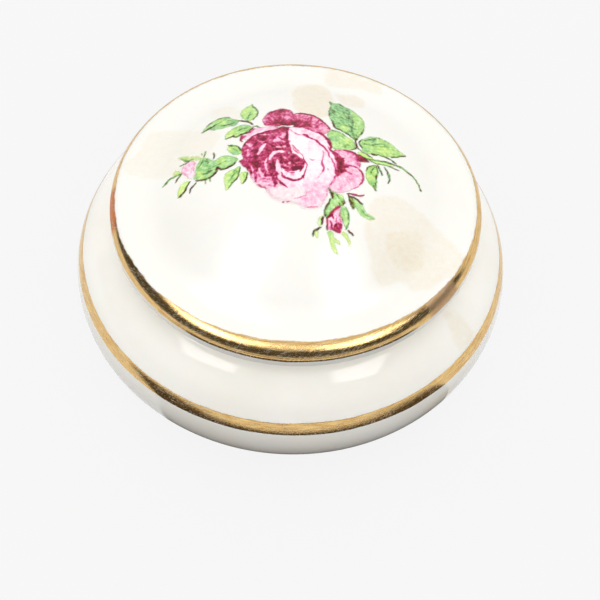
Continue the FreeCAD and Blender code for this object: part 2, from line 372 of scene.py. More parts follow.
def firedGold():
    # liquid gold laid on by brush and fired: mirror-like but finely streaked, feathered and worn at its edges
    material, tree = newMaterial("brushedFiredGold")
    uv = addNode(tree, "ShaderNodeUVMap", {"uv_map": "bandMm"}).outputs["UV"]
    feather, dull, copper = [addNode(tree, "ShaderNodeAttribute", {"attribute_name": key}).outputs["Fac"]
                             for key in ("feather", "dull", "copper")]
    noises = []
    for size, detail in (((1 / 2.8, 1 / 0.17, 1), 4.0),                                       # streaks along the band
                         ((1 / gilding["brushMm"], 1 / 1.6, 1), 3.0),                         # bristle marks across it
                         ((1 / gilding["grainMm"], 1 / gilding["grainMm"], 1), 2.5),          # fine stipple
                         ((1 / 2.2, 1 / 1.4, 1), 3.0)):                                       # rubbed patches
        stretched = addNode(tree, "ShaderNodeMapping", {"Scale": size}, {"Vector": uv})
        noises.append(addNode(tree, "ShaderNodeTexNoise", {"Scale": 1.0, "Detail": detail, "Roughness": 0.6},
                              {"Vector": stretched.outputs[0]}).outputs["Fac"])
    streak, bristle, stipple, patches = noises
    tone = setRamp(addNode(tree, "ShaderNodeValToRGB", {}, {"Fac": streak}),
                   [(0.3, gilding["deep"]), (0.62, gilding["bright"])])
    grime = addNode(tree, "ShaderNodeMapRange", {"From Min": 0.62, "From Max": 0.74, "To Max": 0.55}, {"Value": stipple})
    colour = tone.outputs["Color"]
    for share, shade in ((grime.outputs[0], "worn"), (dull, "dull"), (copper, "copper")):
        colour = addNode(tree, "ShaderNodeMix", {"data_type": "RGBA", 7: hexColour(gilding[shade])},
                         {0: share, 6: colour}).outputs[2]
    gloss = addNode(tree, "ShaderNodeMapRange", {"From Min": 0.35, "From Max": 0.7, "To Min": gilding["roughness"][0],
                                                "To Max": gilding["roughness"][1]}, {"Value": patches})
    rough = addNode(tree, "ShaderNodeMix", {"data_type": "FLOAT", 3: 0.5}, {0: dull, 2: gloss.outputs[0]})
    relief = addNode(tree, "ShaderNodeMath", {"operation": "MULTIPLY_ADD", 1: 0.8}, {0: bristle, 2: stipple})
    bump = addNode(tree, "ShaderNodeBump", {"Strength": 0.6, "Distance": 0.00002}, {"Height": relief.outputs[0]})
    edge = addNode(tree, "ShaderNodeMath", {"operation": "MULTIPLY_ADD", 1: 1.5, 2: -0.25}, {0: feather})
    kept = addNode(tree, "ShaderNodeMath", {"operation": "SUBTRACT"}, {0: edge.outputs[0], 1: bristle})
    film = addNode(tree, "ShaderNodeMapRange", {"From Min": -0.12, "From Max": 0.16}, {"Value": kept.outputs[0]})
    pits = addNode(tree, "ShaderNodeMapRange", {"From Min": 0.74, "From Max": 0.8, "To Min": 1.0, "To Max": 0.35},
                   {"Value": addNode(tree, "ShaderNodeMath", {"operation": "MULTIPLY_ADD", 1: 0.35},
                                     {0: patches, 2: stipple}).outputs[0]})
    left = addNode(tree, "ShaderNodeMath", {"operation": "MULTIPLY"}, {0: film.outputs[0], 1: pits.outputs[0]})
    shader = addNode(tree, "ShaderNodeBsdfPrincipled", {"Metallic": 1.0},
                     {"Base Color": colour, "Roughness": rough.outputs[0], "Normal": bump.outputs[0],
                      "Alpha": left.outputs[0]})
    addNode(tree, "ShaderNodeOutputMaterial", {}, {"Surface": shader.outputs[0]})
    return material


bowlGlaze = glazedPorcelain("glazedPorcelain", porcelain["bowlRoughness"], porcelain["bowlTones"])
# the lid's glaze: rougher from handling, and painted a shade darker than the bowl's for the light on its top
lidGlaze = glazedPorcelain("handledLidGlazeWithPaintedShade", porcelain["lidRoughness"], porcelain["lidPaintedShadeTones"])
bare, gold = barePorcelain(), firedGold()
print("finishes made")


# ---- porcelain ----

def bowlBare(r, h, rise):
    return (h < 0.02 and r > bowl["footInner"] - 0.1) or (h > bowl["seatHeight"] - 0.02)


def lidBare(r, h, rise):
    return abs(h - bowl["seatHeight"]) < 0.02 and r < bowl["neckRadius"] + 0.6


bowlPiece = turnedPiece("porcelainBowl", bowlOutline(), bowl["sectors"], [bowlGlaze, bare], bowlBare,
                        body="bowl", slot="glazed_porcelain_body", nodes=["porcelain_body"])
lidPiece = turnedPiece("porcelainLid", lidOutline(), lid["sectors"], [lidGlaze, bare], lidBare,
                       body="lid", slot="glazed_porcelain_lid", nodes=["porcelain_lid"])
print("porcelain turned:", len(bowlPiece.data.polygons), len(lidPiece.data.polygons))


# ---- gold bands ----

edgeBand = {
    "sideStart": 1.0,        # where the gold starts, outwards from the top of the rolled edge
    "frontStart": -0.75,
    "backStart": 0.45,
    "lowerAngle": 10.5,
    "ragged": 0.07,
    "featherMm": 0.9,        # width of the brushed inner edge
    "lift": 0.03,
    "ridge": (2.62, 0.13, 0.03),   # raised line of thicker gold: place, half width and height
    "dull": (-46, -33),      # degrees from +X, the rubbed stretch
    "copper": (176, 192),
    "sectors": 900,
    "rows": 34,
}

bellyBand = {
    "low": 14.1,
    "high": 16.47,
    "ragged": 0.04,
    "featherMm": 0.22,
    "lift": 0.03,
    "sectors": 900,
    "rows": 14,
}


def edgeSurface(s):
    # point and outward normal on the lid at s millimetres outwards from the top of its rolled edge
    d = lid
    if s <= 0:
        r = d["radius"] - d["edgeRound"] + s
        slope = max(0, d["coveEnd"] - r) / d["coveRadius"]
        return (r, lidTop(r, 0)), (slope, 1 - slope * slope / 2)
    turn = math.pi / 2 - s / d["edgeRound"]
    normal = (math.cos(turn), math.sin(turn))
    centre = (d["radius"] - d["edgeRound"], d["edgeMiddle"])
    return tuple(c + d["edgeRound"] * n for c, n in zip(centre, normal)), normal


def bellySurface(s):
    # the same on the bowl's bulge, s is the height above the table
    b = bowl
    turn = math.asin((s - b["bellyHeight"]) / b["upperRise"])
    point = (b["bellyRadius"] - b["bulgeDepth"] + b["bulgeDepth"] * math.cos(turn), s)
    normal = Vector((math.cos(turn) / b["bulgeDepth"], math.sin(turn) / b["upperRise"])).normalized()
    return point, normal


def waver(turn, sizeMm, radius, seed):
    # closed noise round a ring, about -1 to 1
    k = radius / sizeMm
    return 2 * noise.noise(Vector((k * math.cos(turn), k * math.sin(turn), seed)))


def within(degrees, limits, soft=1.5):
    # 1 inside a stretch of the ring, fading to 0 outside it
    middle, half = sum(limits) / 2, (limits[1] - limits[0]) / 2
    away = abs((degrees - middle + 180) % 360 - 180)
    return 1 - smoothStep(half - soft, half + soft, away)


def goldBand(name, surface, limits, style, **place):
    sectors, rows = style["sectors"], style["rows"]
    ridge = style.get("ridge", (0, 1, 0))
    points, faces, uvs, marks = [], [], [], {"feather": [], "dull": [], "copper": []}
    for i in range(sectors):
        turn = 2 * math.pi * i / sectors
        start, end = limits(turn)
        for k in range(rows + 1):
            s = start + (end - start) * k / rows
            (r, h), normal = surface(s)
            edge = min(k, rows - k) / rows
            lift = style["lift"] * smoothStep(-0.02, 0.12, edge)
            lift += ridge[2] * math.exp(-((s - ridge[0]) / ridge[1]) ** 2)
            r, h = r + normal[0] * lift, h + normal[1] * lift
            points.append((r * math.cos(turn), r * math.sin(turn), h))
            uvs.append((turn * r, s))
            inside = s - start if name == "lidEdgeGold" else min(s - start, end - s)
            marks["feather"].append(min(1, inside / style["featherMm"]))
            for key in ("dull", "copper"):
                marks[key].append(0.75 * within(math.degrees(turn), style[key]) if key in style else 0)
    for i in range(sectors):
        j = (i + 1) % sectors
        for k in range(rows):
            a, b = i * (rows + 1) + k, j * (rows + 1) + k
            faces.append((a, a + 1, b + 1, b))
    piece = newPiece(name, points, faces, [gold], **place)
    for key, values in marks.items():
        piece.data.attributes.new(key, "FLOAT", "POINT").data.foreach_set("value", values)
    layer = piece.data.uv_layers.new(name="bandMm")
    for polygon in piece.data.polygons:
        last = polygon.index >= (sectors - 1) * rows
        for loop, vertex in zip(polygon.loop_indices, polygon.vertices):
            u, v = uvs[vertex]
            if last and vertex < rows + 1:
                u = 2 * math.pi * math.hypot(*points[vertex][:2])
            layer.data[loop].uv = (u, v)
    return piece


def edgeLimits(turn):
    front = -math.sin(turn)
    lean = (edgeBand["backStart"] - edgeBand["frontStart"]) / 2
    sag = (edgeBand["backStart"] + edgeBand["frontStart"]) / 2 - edgeBand["sideStart"]
    inside = edgeBand["sideStart"] - lean * front + sag * front ** 2
    inside += edgeBand["ragged"] * (waver(turn, 3, 28, 1.7) + 0.7 * waver(turn, 0.7, 28, 5.2))
    outside = math.radians(90 - edgeBand["lowerAngle"]) * lid["edgeRound"] + 0.05 * waver(turn, 4, 28, 9.1)
    return inside, outside


def bellyLimits(turn):
    low = bellyBand["low"] + bellyBand["ragged"] * waver(turn, 5, 35, 3.3)
    high = bellyBand["high"] + bellyBand["ragged"] * (waver(turn, 6, 35, 7.9) + 0.6 * waver(turn, 0.9, 35, 2.2))
    return low, high


goldBand("lidEdgeGold", edgeSurface, edgeLimits, edgeBand,
         body="lid", slot="fired_gold_lid", nodes=["lid_edge_gilding"])
goldBand("bellyGold", bellySurface, bellyLimits, bellyBand,
         body="bowl", slot="fired_gold_body", nodes=["body_band_gilding"])
print("gold bands laid")

# The rose spray: a fired transfer, so thin sheets laid on the glaze. Every mark adds tone (0 pale, 1 darkest),
# warmth and cover to the points of a fine sheet, and the enamel finishes turn those into colour.

spray = {
    "grid": 0.14,            # mm between the points of a sheet
    "lift": 0.012,           # mm between the glaze and the lowest sheet
    "layer": 0.006,          # and between one sheet and the next
    "softEdge": 0.16,
    "unsteady": ((1.3, 0.16), (0.5, 0.11)),   # size and reach in mm of the hand's small waverings
}


def blend(low, high, values):
    t = np.clip((values - low) / (high - low), 0, 1)
    return t * t * (3 - 2 * t)


def smoothLine(points, closed=False, step=0.3):
    # rounded line through the given points
    points = np.array(points, float)
    count = len(points)
    line = []
    for i in range(count if closed else count - 1):
        around = [(i + k) % count if closed else min(count - 1, max(0, i + k)) for k in (-1, 0, 1, 2)]
        p, q, r, s = points[around]
        parts = max(1, int(np.linalg.norm(r - q) / step))
        for t in np.arange(parts) / parts:
            line.append(0.5 * (2 * q + (r - p) * t + (2 * p - 5 * q + 4 * r - s) * t ** 2
                               + (3 * q - p - 3 * r + s) * t ** 3))
    line.append(line[0] if closed else points[-1])
    return np.array(line)


def nearLine(spots, line):
    # distance from each spot to a line, and how far along the line its nearest place is
    runs = line[1:] - line[:-1]
    lengths = np.linalg.norm(runs, axis=1)
    distance, share, done = np.full(len(spots), 1e9), np.zeros(len(spots)), 0
    for start, run, length in zip(line[:-1], runs, lengths):
        t = np.clip((spots - start) @ run / (length ** 2 + 1e-12), 0, 1)
        away = np.linalg.norm(spots - start - t[:, None] * run, axis=1)
        closer = away < distance
        distance[closer] = away[closer]
        share[closer] = (done + t[closer] * length) / lengths.sum()
        done += length
    return distance, share


def insideLine(spots, line):
    x, y = spots.T
    inside = np.zeros(len(spots), bool)
    for (x0, y0), (x1, y1) in zip(line[:-1], line[1:]):
        if y0 != y1:
            inside ^= ((y0 > y) != (y1 > y)) & (x < x0 + (y - y0) * (x1 - x0) / (y1 - y0))
    return inside


def newSheet(low, high):
    # empty sheet between two corners, in millimetres on the lid
    across = np.arange(low[0], high[0], spray["grid"])
    up = np.arange(low[1], high[1], spray["grid"])
    spots = np.stack(np.meshgrid(across, up), axis=-1)
    shape, spots = spots.shape[:2], spots.reshape(-1, 2)
    unsteady = np.zeros(spots.shape)
    for size, reach in spray["unsteady"]:
        unsteady += [[reach * part for part in noise.noise_vector(Vector((x / size, y / size, 0)))[:2]]
                     for x, y in spots]
    count = len(spots)
    return {"shape": shape, "places": spots, "spots": spots + unsteady, "tone": np.zeros(count),
            "warm": np.zeros(count), "cover": np.zeros(count), "flow": np.zeros((count, 2))}


def layColour(sheet, near, mask, tone, warm):
    # colour over what is there already
    under = sheet["cover"][near] * (1 - mask)
    whole = under + mask
    share = np.where(whole > 1e-6, mask / np.maximum(whole, 1e-6), 1)
    for name, value in (("tone", tone), ("warm", warm)):
        sheet[name][near] = sheet[name][near] * (1 - share) + value * share
    sheet["cover"][near] = whole


def spotsNear(sheet, line, margin):
    spots = sheet["spots"]
    return np.flatnonzero(((spots > line.min(0) - margin) & (spots < line.max(0) + margin)).all(axis=1))


def paintArea(sheet, root, tones, warm, outline, rim=0, soft=None, cover=1):
    # closed shape whose tones run from its root to its far side, with a darker or lighter rim
    line = smoothLine(outline, closed=True)
    soft = soft or spray["softEdge"]
    near = spotsNear(sheet, line, soft)
    spots = sheet["spots"][near]
    depth = nearLine(spots, line)[0] * np.where(insideLine(spots, line), 1, -1)
    away = np.linalg.norm(spots - root, axis=1)
    reach = np.linalg.norm(line - root, axis=1).max()
    tone = np.interp(away / reach, np.linspace(0, 1, len(tones)), tones) + rim * blend(0.7, 0, depth)
    mask = blend(-soft, soft, depth) * cover
    layColour(sheet, near, mask, tone, warm)
    turn = np.arctan2(*(spots - root).T)
    flow = np.stack([away, turn * reach * 0.6], axis=1)
    sheet["flow"][near] = np.where(mask[:, None] > 0.5, flow, sheet["flow"][near])


def paintStroke(sheet, width, tone, warm, points, strength=1, soft=0.1):
    # brush line, narrower at both ends
    line = smoothLine(points)
    near = spotsNear(sheet, line, width)
    distance, share = nearLine(sheet["spots"][near], line)
    half = width / 2 * (0.35 + 0.65 * np.sqrt(np.clip(4 * share * (1 - share), 0, 1)))
    layColour(sheet, near, strength * blend(half + soft, half - soft, distance), tone, warm)


def paintSpot(sheet, middle, radius, tone, warm, strength=0.8):
    # soft dab, lighter or darker than what is under it
    near = spotsNear(sheet, np.array([middle], float), radius)
    distance = np.linalg.norm(sheet["spots"][near] - middle, axis=1)
    layColour(sheet, near, strength * blend(radius, radius * 0.25, distance), tone, warm)


def paintMarks(sheet, marks):
    for shape in marks.get("areas", ()):
        paintArea(sheet, *shape)
    for middle, radius, tone, warm in marks.get("dabs", ()):
        paintSpot(sheet, middle, radius, tone, warm)
    for stroke in marks.get("strokes", ()):
        paintStroke(sheet, *stroke)


def laySheet(name, sheet, layer, material, nodes=()):
    # mesh of the covered part of a sheet, lying on the lid
    rows, columns = sheet["shape"]
    grid = np.arange(rows * columns).reshape(rows, columns)
    cells = np.stack([grid[:-1, :-1], grid[:-1, 1:], grid[1:, 1:], grid[1:, :-1]], axis=-1).reshape(-1, 4)
    cells = cells[sheet["cover"][cells].max(axis=1) > 0.02]
    used, faces = np.unique(cells, return_inverse=True)
    lift = spray["lift"] + layer * spray["layer"]
    points = [(x, y, lidTop(x, y) + lift) for x, y in sheet["places"][used]]
    piece = newPiece(name, points, faces.reshape(-1, 4).tolist(), [material], body="lid",
                     slot="rose_overglaze_colours", nodes=nodes)
    for key in ("tone", "warm", "cover"):
        values = piece.data.attributes.new(key, "FLOAT", "POINT").data
        values.foreach_set("value", sheet[key][used].astype(np.float32))
    layer = piece.data.uv_layers.new(name="flowMm")
    corners = np.empty(len(piece.data.loops), np.int32)
    piece.data.loops.foreach_get("vertex_index", corners)
    layer.data.foreach_set("uv", sheet["flow"][used][corners].astype(np.float32).ravel())
    return piece


enamels = {
    "rose": [["#FCF7F3", "#F9DDE8", "#F3ADCB", "#DC6B9E", "#BC3069", "#9C1848", "#701034"],
             ["#FBF6F1", "#F9D9DF", "#ECA2B6", "#D25A7B", "#AE2644", "#8E142E", "#5C1020"]],
    "leaf": [["#F1F7EA", "#D2ECC6", "#A9D898", "#8AC284", "#68965E", "#574A30", "#541F20"],
             ["#F8F9DF", "#E4F2A6", "#C6E680", "#A2D066", "#7E9842", "#614822", "#58201A"]],
    "stops": [0.0, 0.16, 0.36, 0.56, 0.76, 0.9, 1.0],
    "bristleMm": 0.5,
    "mottleMm": 0.7,
    "streaks": 0.15,
    "mottle": 0.27,
}


def overglazeEnamel(name, ramps):
    # ceramic colours fired on over the glaze: thin, glassy, brushed in streaks with a mottled printed grain
    material, tree = newMaterial(name)
    place = addNode(tree, "ShaderNodeTexCoord").outputs["Object"]
    flow = addNode(tree, "ShaderNodeUVMap", {"uv_map": "flowMm"}).outputs["UV"]
    tone, warm, cover = [addNode(tree, "ShaderNodeAttribute", {"attribute_name": key}).outputs["Fac"]
                         for key in ("tone", "warm", "cover")]
    brushed = addNode(tree, "ShaderNodeMapping", {"Scale": (0.14 / enamels["bristleMm"], 1 / enamels["bristleMm"], 1)},
                      {"Vector": flow})
    bristles = addNode(tree, "ShaderNodeTexNoise", {"Scale": 1.0, "Detail": 3.0, "Roughness": 0.6},
                       {"Vector": brushed.outputs[0]})
    grain = addNode(tree, "ShaderNodeTexNoise", {"Scale": perMm(enamels["mottleMm"]), "Detail": 3.0,
                                                "Roughness": 0.65}, {"Vector": place})
    amount = addNode(tree, "ShaderNodeMapRange", {"From Max": 0.6, "To Min": 0.25, "To Max": 1.0}, {"Value": tone})
    parts = []
    for source, share in ((bristles, enamels["streaks"]), (grain, enamels["mottle"])):
        parts.append(addNode(tree, "ShaderNodeMapRange", {"From Min": 0.3, "From Max": 0.7, "To Min": -share,
                                                         "To Max": share, "clamp": False},
                             {"Value": source.outputs["Fac"]}))
    both = addNode(tree, "ShaderNodeMath", {"operation": "ADD"}, {0: parts[0].outputs[0], 1: parts[1].outputs[0]})
    shifted = addNode(tree, "ShaderNodeMath", {"operation": "MULTIPLY_ADD"},
                      {0: both.outputs[0], 1: amount.outputs[0], 2: tone})
    shades = []
    for colours in ramps:
        ramp = addNode(tree, "ShaderNodeValToRGB", {}, {"Fac": shifted.outputs[0]})
        shades.append(setRamp(ramp, list(zip(enamels["stops"], colours))))
    paint = addNode(tree, "ShaderNodeMix", {"data_type": "RGBA"},
                    {0: warm, 6: shades[0].outputs["Color"], 7: shades[1].outputs["Color"]})
    bump = addNode(tree, "ShaderNodeBump", {"Strength": 0.4, "Distance": 0.00001}, {"Height": grain.outputs["Fac"]})
    gloss = addNode(tree, "ShaderNodeMapRange", {"To Min": 0.08, "To Max": 0.2}, {"Value": grain.outputs["Fac"]})
    shader = addNode(tree, "ShaderNodeBsdfPrincipled", {"IOR": 1.42},
                     {"Base Color": paint.outputs[2], "Roughness": gloss.outputs[0], "Normal": bump.outputs[0],
                      "Alpha": cover})
    addNode(tree, "ShaderNodeOutputMaterial", {}, {"Surface": shader.outputs[0]})
    return material


roseEnamel = overglazeEnamel("roseOverglazeEnamel", enamels["rose"])
leafEnamel = overglazeEnamel("leafOverglazeEnamel", enamels["leaf"])

# areas: root, tones from root outwards, warmth, outline, rim; dabs: middle, radius, tone, warmth;
# strokes: width, tone, warmth, points
bloomMarks = {
    "areas": [
        # back petals
        ((-2.5, 9.5), (0.9, 0.8, 0.72, 0.62, 0.78), 0.45,
         [(-5.3, 12), (-5.2, 11), (-4.8, 10.1), (-3.2, 9.9), (-1.8, 10.2), (-0.6, 10.4), (-0.4, 11.6), (-0.5, 13),
          (-0.8, 13.9), (-1.6, 14.4), (-2.6, 14.35), (-3.4, 14), (-4.3, 13.8), (-4.9, 13)]),
        ((0, 9.5), (0.95, 0.8, 0.6, 0.45, 0.4), 0.5,
         [(-0.6, 10.2), (-0.5, 12), (-0.4, 13), (0.3, 13.2), (1.2, 13.1), (2.2, 12.9), (3, 12.4), (3.8, 11.6),
          (4.5, 10.7), (5.1, 9.8), (5.3, 9.1), (4.6, 8.4), (3.9, 8), (3, 8.4), (1.8, 9), (0.6, 9.3), (-0.6, 9.6)]),
        # lower pale petals
        ((0, -2), (0.16, 0.1, 0.07, 0.08, 0.12), 0.2,
         [(-4.6, -3.1), (-4.4, -4.4), (-3.6, -5.2), (-2.4, -5.6), (-1.2, -5.9), (0, -6.2), (0.9, -5.6), (1.2, -4.2),
          (1, -3), (-2, -2.6)], 0.06, 0.5, 0.9),
        ((1, -3), (0.2, 0.26, 0.27, 0.24, 0.14), 0.05,
         [(1.2, -4.2), (0.4, -5.2), (0, -6.2), (1, -6.8), (2.2, -6.9), (3.2, -6.6), (3.9, -5.8), (4.3, -4.8),
          (4.5, -3.8), (4.4, -3), (2, -2.6), (0, -2.6), (-0.6, -3.1), (0.6, -3.5)], 0.0, 0.45),
        # side petal on the right, upper and lower half
        ((6, 1.5), (0.7, 0.5, 0.36, 0.34, 0.42, 0.6), 0.1,
         [(5.6, 4.3), (6.2, 4.7), (7.4, 4.8), (8.4, 4.6), (9.2, 4.2), (9.7, 3.3), (9.8, 2.4), (9.4, 1.4), (8, 1.6),
          (6.4, 1.2)], 0.06),
        ((6, 1.5), (0.75, 0.45, 0.32, 0.28, 0.27, 0.3), 0.1,
         [(6.2, 1.6), (8, 1.7), (9.4, 1.4), (9.9, 0.7), (10.2, -0.2), (10, -1.2), (9.4, -2.1), (8.6, -2.8),
          (7.6, -3.4), (6.6, -3.8), (5.6, -3.7), (4.9, -3), (5.4, -2), (5.9, -0.5)]),
        ((5.9, 1.5), (0.9, 0.86, 0.74), 0.9,
         [(5.7, 3.9), (6.8, 3.3), (7.4, 2.5), (7.3, 2), (8, 1.4), (7.4, 0.9), (7.7, 0.4), (6.9, 0.1), (6.6, -0.4),
          (6, -0.8)]),
        # red corner behind it
        ((9.3, 3.6), (0.75, 0.88, 0.9), 0.95,
         [(8.7, 4.6), (9.6, 4.2), (10.4, 3.8), (11.2, 3.1), (10.5, 2.8), (9.6, 2.9), (9.2, 3.6)]),
        # pale petal edge and crimson tips between the left leaves and the flower
        ((-3, 9.2), (0.3, 0.2, 0.22, 0.3), 0.05,
         [(-3, 9.2), (-3.4, 9.8), (-5, 9.7), (-6.4, 9.7), (-7.1, 9.2), (-7.9, 8.3), (-8.3, 7.4), (-7.6, 7),
          (-6, 8), (-4.5, 8.6)], 0.05, 0.25),
        ((-8.4, 7.9), (0.72, 0.8), 0.2,
         [(-8.9, 8.1), (-8.2, 8), (-7.9, 7.6), (-8.4, 7.3), (-8.6, 7)]),
        # main dark petal on the left
        ((-1.5, 3), (0.82, 0.7, 0.76, 0.8, 0.7), 0.4,
         [(-1.2, 9.5), (-3, 9), (-5, 8.5), (-6.6, 7.8), (-7.7, 6.9), (-8.4, 5.8), (-8.6, 4.5), (-8.5, 3), (-8.2, 1.5),
          (-7.5, 0), (-7, -1.2), (-5.5, -1.4), (-4, -2), (-3.2, -1), (-2, 2), (-1.2, 5), (-1.3, 7.5)]),
        ((-4.5, 0.5), (0.8, 0.62, 0.42, 0.3, 0.3), 0.15,
         [(-7.1, -0.6), (-6.9, -1.6), (-6.5, -2.2), (-5.9, -2.8), (-5, -3.2), (-4.3, -3.3), (-3.2, -3.3), (-3, -1.5),
          (-4, -0.6), (-5.6, 0.2)], 0.0, 0.4),
        ((-8.2, 1.9), (0.7, 0.85), 0.3,
         [(-9, 2.6), (-8.6, 2.8), (-8, 2.4), (-7.6, 1.8), (-7.7, 1.2), (-8.3, 1.2), (-8.8, 1.8)]),
        # large pale petals of the right half
        ((0, 3.5), (0.08, 0.04, 0.04, 0.09, 0.2, 0.32), 0.08,
         [(-1.3, 9.2), (0, 9.35), (1, 9.3), (2, 9), (3, 8.5), (4, 7.8), (4.8, 6.9), (5.3, 5.8), (5.2, 4.6), (5.7, 3.4),
          (6, 1.8), (6, 0), (5.6, -1.6), (5, -2.6), (4.6, -3.1), (3, -3), (1, -3.1), (-1.4, -3.3), (-2.6, -2.6),
          (-3.2, -1.4), (-2.4, 0), (-1, 1.5), (-0.8, 4), (-1.3, 6)]),
        ((1.8, 2), (0.06, 0.04, 0.08, 0.12), 0.1,
         [(1.4, 2), (1.6, 4.5), (1.8, 6.4), (2.8, 6), (3.6, 4.8), (3.9, 3), (3.8, 1), (3.4, -0.8), (2.4, -2), (1.3, -1.6),
          (1.4, 0)], 0.08, 0.3),
        ((4.4, 1), (0.05, 0.1, 0.2), 0.05,
         [(4.1, 4), (4.8, 3.4), (5.4, 1.8), (5.5, 0), (5, -1.8), (4, -2.4), (3.7, -1), (4.2, 0.4), (4.1, 2)], 0.0, 0.3),
        # heart of the flower
        ((-1.2, 1.3), (0.7, 0.84, 0.88, 0.84), 0.5,
         [(-2.7, 2.7), (-1.9, 3.3), (-0.8, 3.3), (0.1, 2.7), (0.9, 1.9), (1.1, 1), (0.6, 0.2), (-0.3, -0.2),
          (-1.4, -0.1), (-2.3, 0.3), (-2.8, 1.3)]),
    ],
    "dabs": [
        ((-1.5, 12), 0.75, 0.28, 0), ((-1, 13.2), 0.5, 0.45, 0), ((-4.9, 11.8), 0.6, 0.5, 0),
        ((-3, 10.7), 1.2, 0.92, 0.8), ((-2.4, 14), 0.9, 0.88, 0.5), ((-4, 13), 0.7, 0.7, 0.1),
        ((0.4, 10.8), 0.9, 0.88, 0.9), ((-0.2, 12.2), 0.5, 0.6, 0.2), ((1, 12), 0.6, 0.5, 0.6),
        ((2.6, 11.7), 0.55, 0.26, 0.3), ((4.1, 9.6), 0.8, 0.3, 0.2), ((3.2, 9), 0.6, 0.42, 0.1),
        ((-7.4, 5.7), 0.6, 0.32, 0), ((-2.8, 6.9), 0.7, 0.42, 0), ((-2.3, 7.9), 0.5, 0.5, 0.1),
        ((-5.4, 7), 1.3, 0.88, 0.6), ((-7.9, 4.6), 0.5, 0.6, 0.2), ((-6.5, 1.5), 1.2, 0.9, 0.7),
        ((-7, 4.9), 0.4, 0.5, 0), ((-3.9, 6.7), 0.5, 0.6, 0.2), ((-3.1, 7.9), 0.5, 0.62, 0.3),
        ((-5.6, 5.9), 0.4, 0.56, 0), ((-7.6, 2.6), 0.4, 0.6, 0.1), ((-6.9, -0.2), 0.4, 0.56, 0),
        ((-5.2, 2.9), 0.4, 0.62, 0.2), ((-5.6, 0.9), 0.4, 0.6, 0), ((-1.2, 6.1), 0.35, 0.6, 0),
        ((-0.6, 1), 0.22, 0.5, 0.4), ((-1.8, 1.2), 0.22, 0.5, 0.4), ((-0.2, 1.5), 0.2, 0.55, 0.4),
        ((-1.2, 0.5), 0.2, 0.5, 0.3), ((0.3, 1.1), 0.2, 0.55, 0.5), ((-1.4, 2.6), 0.25, 0.55, 0.5),
        ((-4.4, 7.4), 0.5, 0.7, 0.3), ((-6.1, 5.8), 0.6, 0.78, 0.1), ((-8, 3), 0.6, 0.75, 0),
        ((-1.3, 1.4), 0.42, 0.2, 0.2), ((-2, 2.5), 0.4, 0.42, 0.6), ((-0.4, 2.4), 0.35, 0.66, 0.6),
        ((-0.9, -0.8), 0.6, 0.42, 0), ((0.4, -0.9), 0.5, 0.2, 0), ((-1.9, -0.6), 0.45, 0.4, 0),
        ((9.2, 2.5), 0.6, 0.55, 0), ((7.4, 4.2), 0.8, 0.3, 0), ((1, 8.6), 0.9, 0.3, 0), ((3.6, 6.9), 0.8, 0.36, 0),
        ((2.2, 7.6), 0.9, 0.24, 0), ((4.9, 1.9), 0.5, 0.22, 0), ((2.3, -2.6), 0.9, 0.2, 0),
    ],
    "strokes": [
        # rims and folds of the back petals
        (0.7, 0.9, 0.8, [(-3.9, 10.4), (-2.5, 10.3), (-1.2, 10.3), (0.2, 10.4), (1.6, 10.1), (2.2, 9.7)]),
        (0.35, 0.86, 0.6, [(-0.2, 13.1), (1.2, 13.1), (2.5, 12.8), (3.4, 12), (4.4, 10.9), (5.1, 9.8), (5.2, 9.3)]),
        (0.3, 0.75, 0.2, [(2.5, 12.4), (2.3, 11.8), (2.2, 11.2)]),
        (0.3, 0.78, 0.3, [(3.5, 11.6), (3.3, 11), (2.9, 10.4)]),
        (0.3, 0.74, 0.1, [(4.1, 10.8), (3.5, 10.3), (3, 9.7)]),
        (0.4, 0.8, 0.5, [(1.9, 12.1), (1.6, 11.4), (1.3, 10.7)]),
        (0.3, 0.7, 0.2, [(0.3, 9.8), (0.8, 10.3), (1.2, 11.2)]),
        (0.3, 0.66, 0, [(-4.4, 12.6), (-4, 11.8), (-3.8, 11)]),
        (0.3, 0.82, 0.3, [(-3, 13.6), (-2.8, 12.6), (-2.8, 11.6)]),
        (0.28, 0.8, 0.3, [(-3.9, 13.7), (-2.9, 14.25), (-1.8, 14.35), (-0.9, 13.8)]),
        (0.25, 0.6, 0.1, [(-5.2, 12.4), (-5.2, 11.2), (-4.8, 10.3)]),
        (0.5, 0.85, 0.5, [(-2.9, 9.3), (-2.1, 9.5), (-1.4, 9.2)]),
        # band and long fold lines on the right
        (0.6, 0.84, 0.35, [(2.9, 8.5), (3.7, 8), (4.5, 7.2), (5, 6.4), (5.2, 5.4), (5.1, 4.8)]),
        (0.34, 0.72, 0.1, [(1, 9.3), (2, 9), (2.9, 8.5)]),
        (0.55, 0.78, 0.1, [(0.8, 7.8), (1.3, 7.5), (1.7, 7.1)]),
        (0.38, 0.82, 0.25, [(1.4, 7.3), (2.4, 6.8), (3.1, 6.3), (3.5, 5.6), (4.1, 4.9), (4.7, 4), (5, 3)]),
        (0.26, 0.68, 0.1, [(5, 3.2), (5.4, 2.2), (5.7, 1), (5.8, -0.5), (5.4, -1.7), (4.9, -2.6)]),
        (0.3, 0.8, 0.3, [(4.7, 5.2), (5.1, 4.3), (5.7, 3.4), (6, 2.2), (6, 0.6), (5.9, -0.6)]),
        (0.2, 0.52, 0.2, [(-1.2, 8.9), (-0.7, 8.2), (0.2, 7.7), (0.7, 7.6)]),
        (0.24, 0.55, 0.05, [(3.95, 4.3), (4, 3.2), (3.85, 2.3)]),
        (0.36, 0.74, 0.05, [(3.85, 2.4), (3.85, 1.4), (4, 0.6), (3.7, -0.3)]),
        (0.16, 0.5, 0.2, [(3.7, -0.2), (3.4, -0.8), (3.1, -1.3)]),
        (0.2, 0.7, 0.9, [(1.8, 2.4), (2.2, 2.15), (2.6, 2.2)]),
